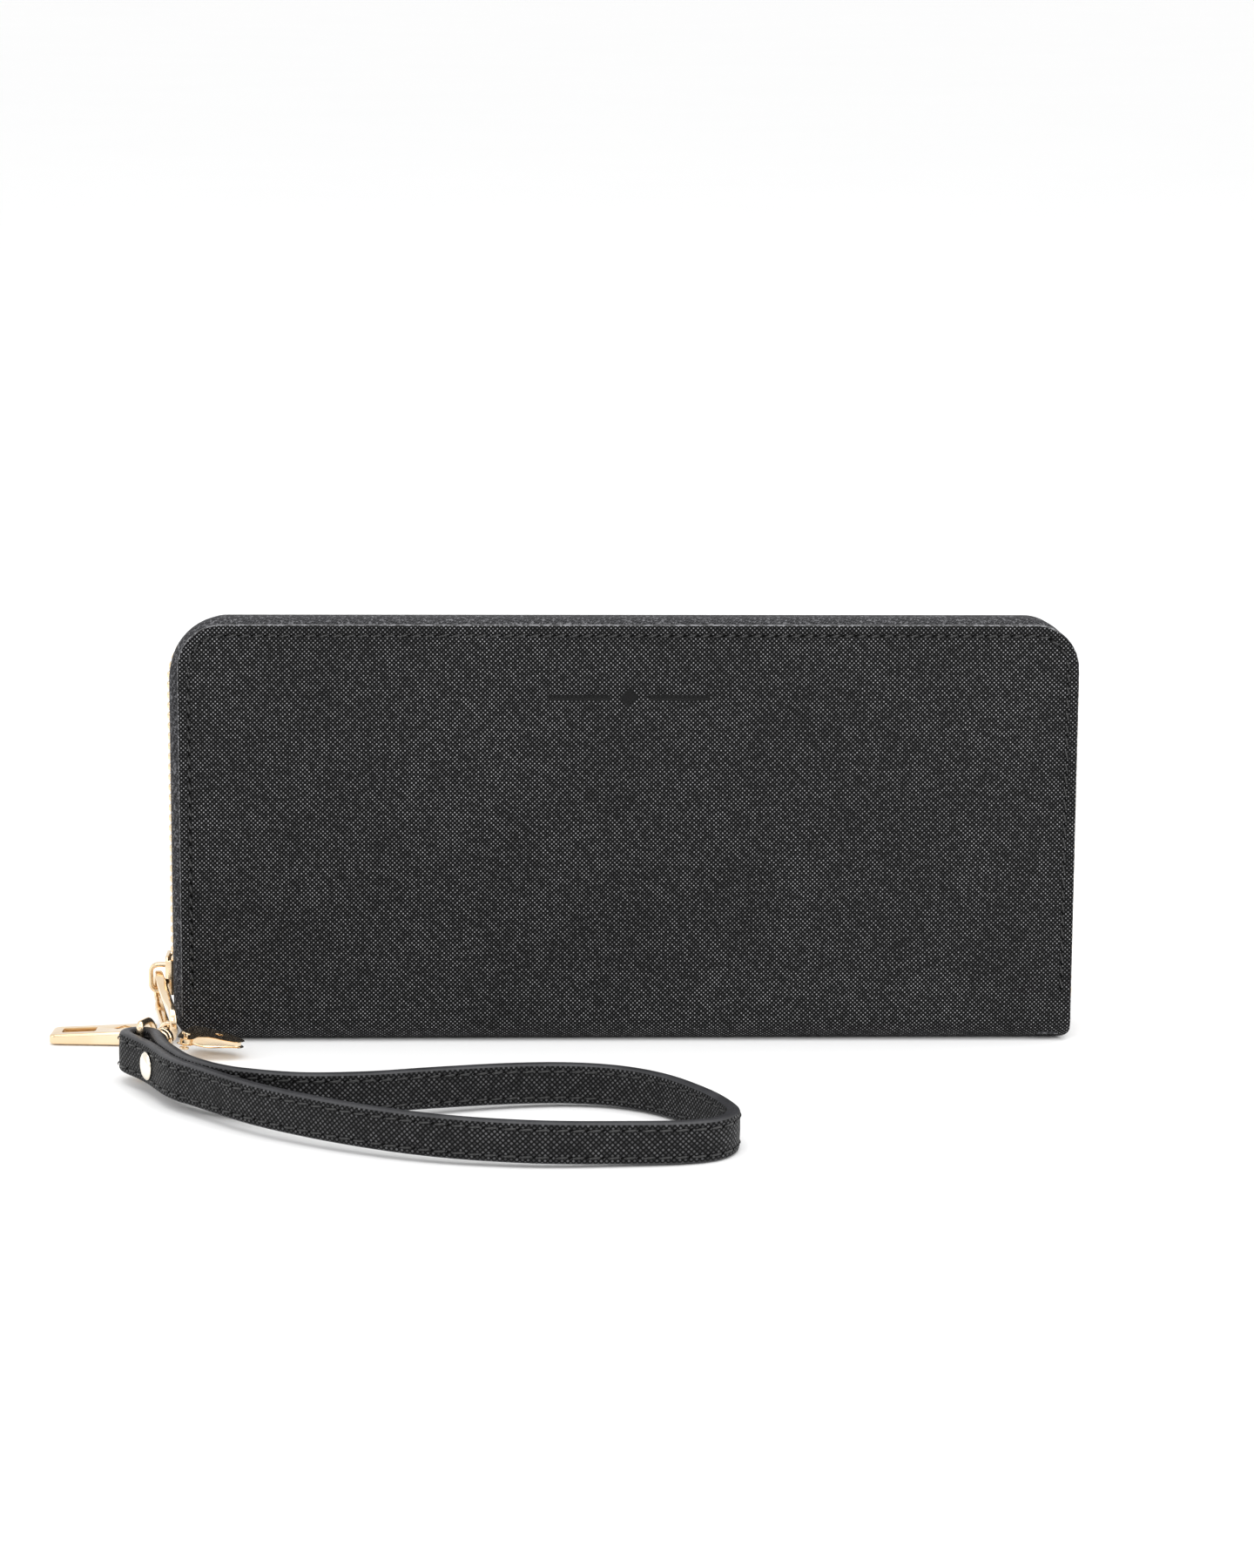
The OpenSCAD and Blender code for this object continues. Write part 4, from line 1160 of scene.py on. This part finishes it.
seams = Heap()
for place in np.arange(1.0, total - 1.0, 3.5):
    i = int(place / total * count) % count
    here, ahead, face = (q[i : i + 1] for q in (centre, tang, outward))
    for side in (-1, 1):
        for h in STITCH_H:
            c = strap_point(here + face * side * 1.40, h)[0]
            a = strap_point(here + ahead, h)[0] - strap_point(here, h)[0]
            o = np.array([face[0, 0] * side, face[0, 1] * side, 0])
            stitch(seams, c, a, o, 2.4, 0.24, 0.12)
            needle_hole_shade(seams, c + unit(a) * 1.75 - o * 0.03, a, o)
seams.make("strap_stitching", ["thread", "hole"], body="strap", slot="cover_leather")

rivet_at = strap_point(spot(12.5, 0)[None], STRAP_W / 2)[0]
rivet_axis = np.array([ACROSS[0], ACROSS[1], 0]) * -1
reach = STRAP_T + 0.22
cap = [(0, 1.05), (1.0, 1.0), (2.0, 0.82), (2.7, 0.52), (3.05, 0.25), (3.1, 0.1), (3.05, 0), (1.2, -0.1)]
base = [(1.2, 0.1), (2.45, 0), (2.5, -0.2), (2.3, -0.5), (1.5, -0.62), (0.9, -0.5), (0, -0.45)]
rivet = [(r, reach + h) for r, h in cap] + [(r, h - reach) for r, h in base]
v, f = lathe(rivet, rivet_at, rivet_axis, 64)
# the rivet cap takes the paler gold, a painted reflection over its gold plating
rivet_piece = piece("strap_rivet_cap", v, f, ["pale_glare_gold"], body="strap", slot="light_gold", sharp=50)
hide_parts("strap_rivet")

# ---------- inner parts kept from the frame ----------
FINISH = {
    "board": ["spine_board", "back_board", "front_board"],
    "lining": ["back_lining", "front_lining", "coin_pocket_front_wall", "coin_pocket_back_wall",
               "coin_pocket_side_band", "left_front_gusset", "right_front_gusset", "left_back_gusset",
               "right_back_gusset"],
    "card": [f"{s}_{k}" for s in ("front", "back") for k in
             ("card_backing", "card_slot_upper", "card_slot_middle", "card_slot_lower")],
    "coin_tape": ["coin_zip_front_tape", "coin_zip_back_tape"],
    "teeth": ["front_zip_stops", "back_zip_stops", "coin_zip_front_teeth", "coin_zip_back_teeth",
              "coin_zip_stops"],
    "gold": ["coin_zip_slider", "coin_zip_puller"],
    "steel": ["clasp_spring"],
}
M["coin_tape"] = lining_cloth("coin_tape_cloth", 0.014)
BEVEL = {"card": 0.12, "lining": 0.12, "board": 0.1, "coin_tape": 0.12, "teeth": 0.12, "gold": 0.22,
         "steel": 0.05}
for finish, names in FINISH.items():
    for name in names:
        ob = nodes[name]
        ob.data.materials.clear()
        ob.data.materials.append(M[finish])
        soften(ob, BEVEL[finish], 2, 40)

# ---------- studio ----------
floor_mesh = bpy.data.meshes.new("studio_floor")
FLOOR = 30.0  # half its side, in metres
corners = [(-FLOOR, -FLOOR, 0), (FLOOR, -FLOOR, 0), (FLOOR, FLOOR, 0), (-FLOOR, FLOOR, 0)]
floor_mesh.from_pydata(corners, [], [(0, 1, 2, 3)])
floor_mesh.materials.append(M["floor"])
floor = bpy.data.objects.new("studio_floor", floor_mesh)
floor.location.z = -0.00002
bpy.context.scene.collection.objects.link(floor)

world = bpy.data.worlds.new("studio")
bpy.context.scene.world = world
world.use_nodes = True
background = world.node_tree.nodes["Background"]
background.inputs[0].default_value = (1, 1, 1, 1)
background.inputs[1].default_value = 1.04
bpy.context.scene.view_settings.view_transform = "Standard"


def lamp(name, at, target, size, watts):
    data = bpy.data.lights.new(name, "AREA")
    data.shape = "RECTANGLE"
    data.size, data.size_y = size
    data.energy = watts
    ob = bpy.data.objects.new(name, data)
    ob.location = at
    ob.rotation_euler = (Vector(target) - Vector(at)).to_track_quat("-Z", "Y").to_euler()
    bpy.context.scene.collection.objects.link(ob)


lamp("top_box", (0.1, -0.25, 1.3), (0, -0.03, 0.03), (1.4, 1.1), 9)
lamp("left_box", (-1.2, -0.5, 0.6), (0, 0, 0.05), (0.8, 1.0), 3)
lamp("right_box", (1.2, -0.7, 0.7), (0, 0, 0.05), (0.8, 1.0), 5)
lamp("front_box", (-0.1, -1.5, 0.9), (0, 0, 0.04), (1.2, 0.6), 4)

cam = bpy.data.cameras.new("camera")
cam.lens = 101.894
cam.sensor_fit = "VERTICAL"
cam.sensor_height = 36.0
cam.clip_start = 0.02
cam.clip_end = 50
camera = bpy.data.objects.new("camera", cam)
right = Vector((0.9995449, -0.0296515, 0.0055488))
up = Vector((0.0003501, 0.1953299, 0.9807375))
back = -Vector((0.0301642, 0.9802893, -0.1952514))
place = Matrix.Translation((-0.0302087, -0.9802893, 0.251969))
camera.matrix_world = place @ Matrix((right, up, back)).transposed().to_4x4()
bpy.context.scene.collection.objects.link(camera)
bpy.context.scene.camera = camera
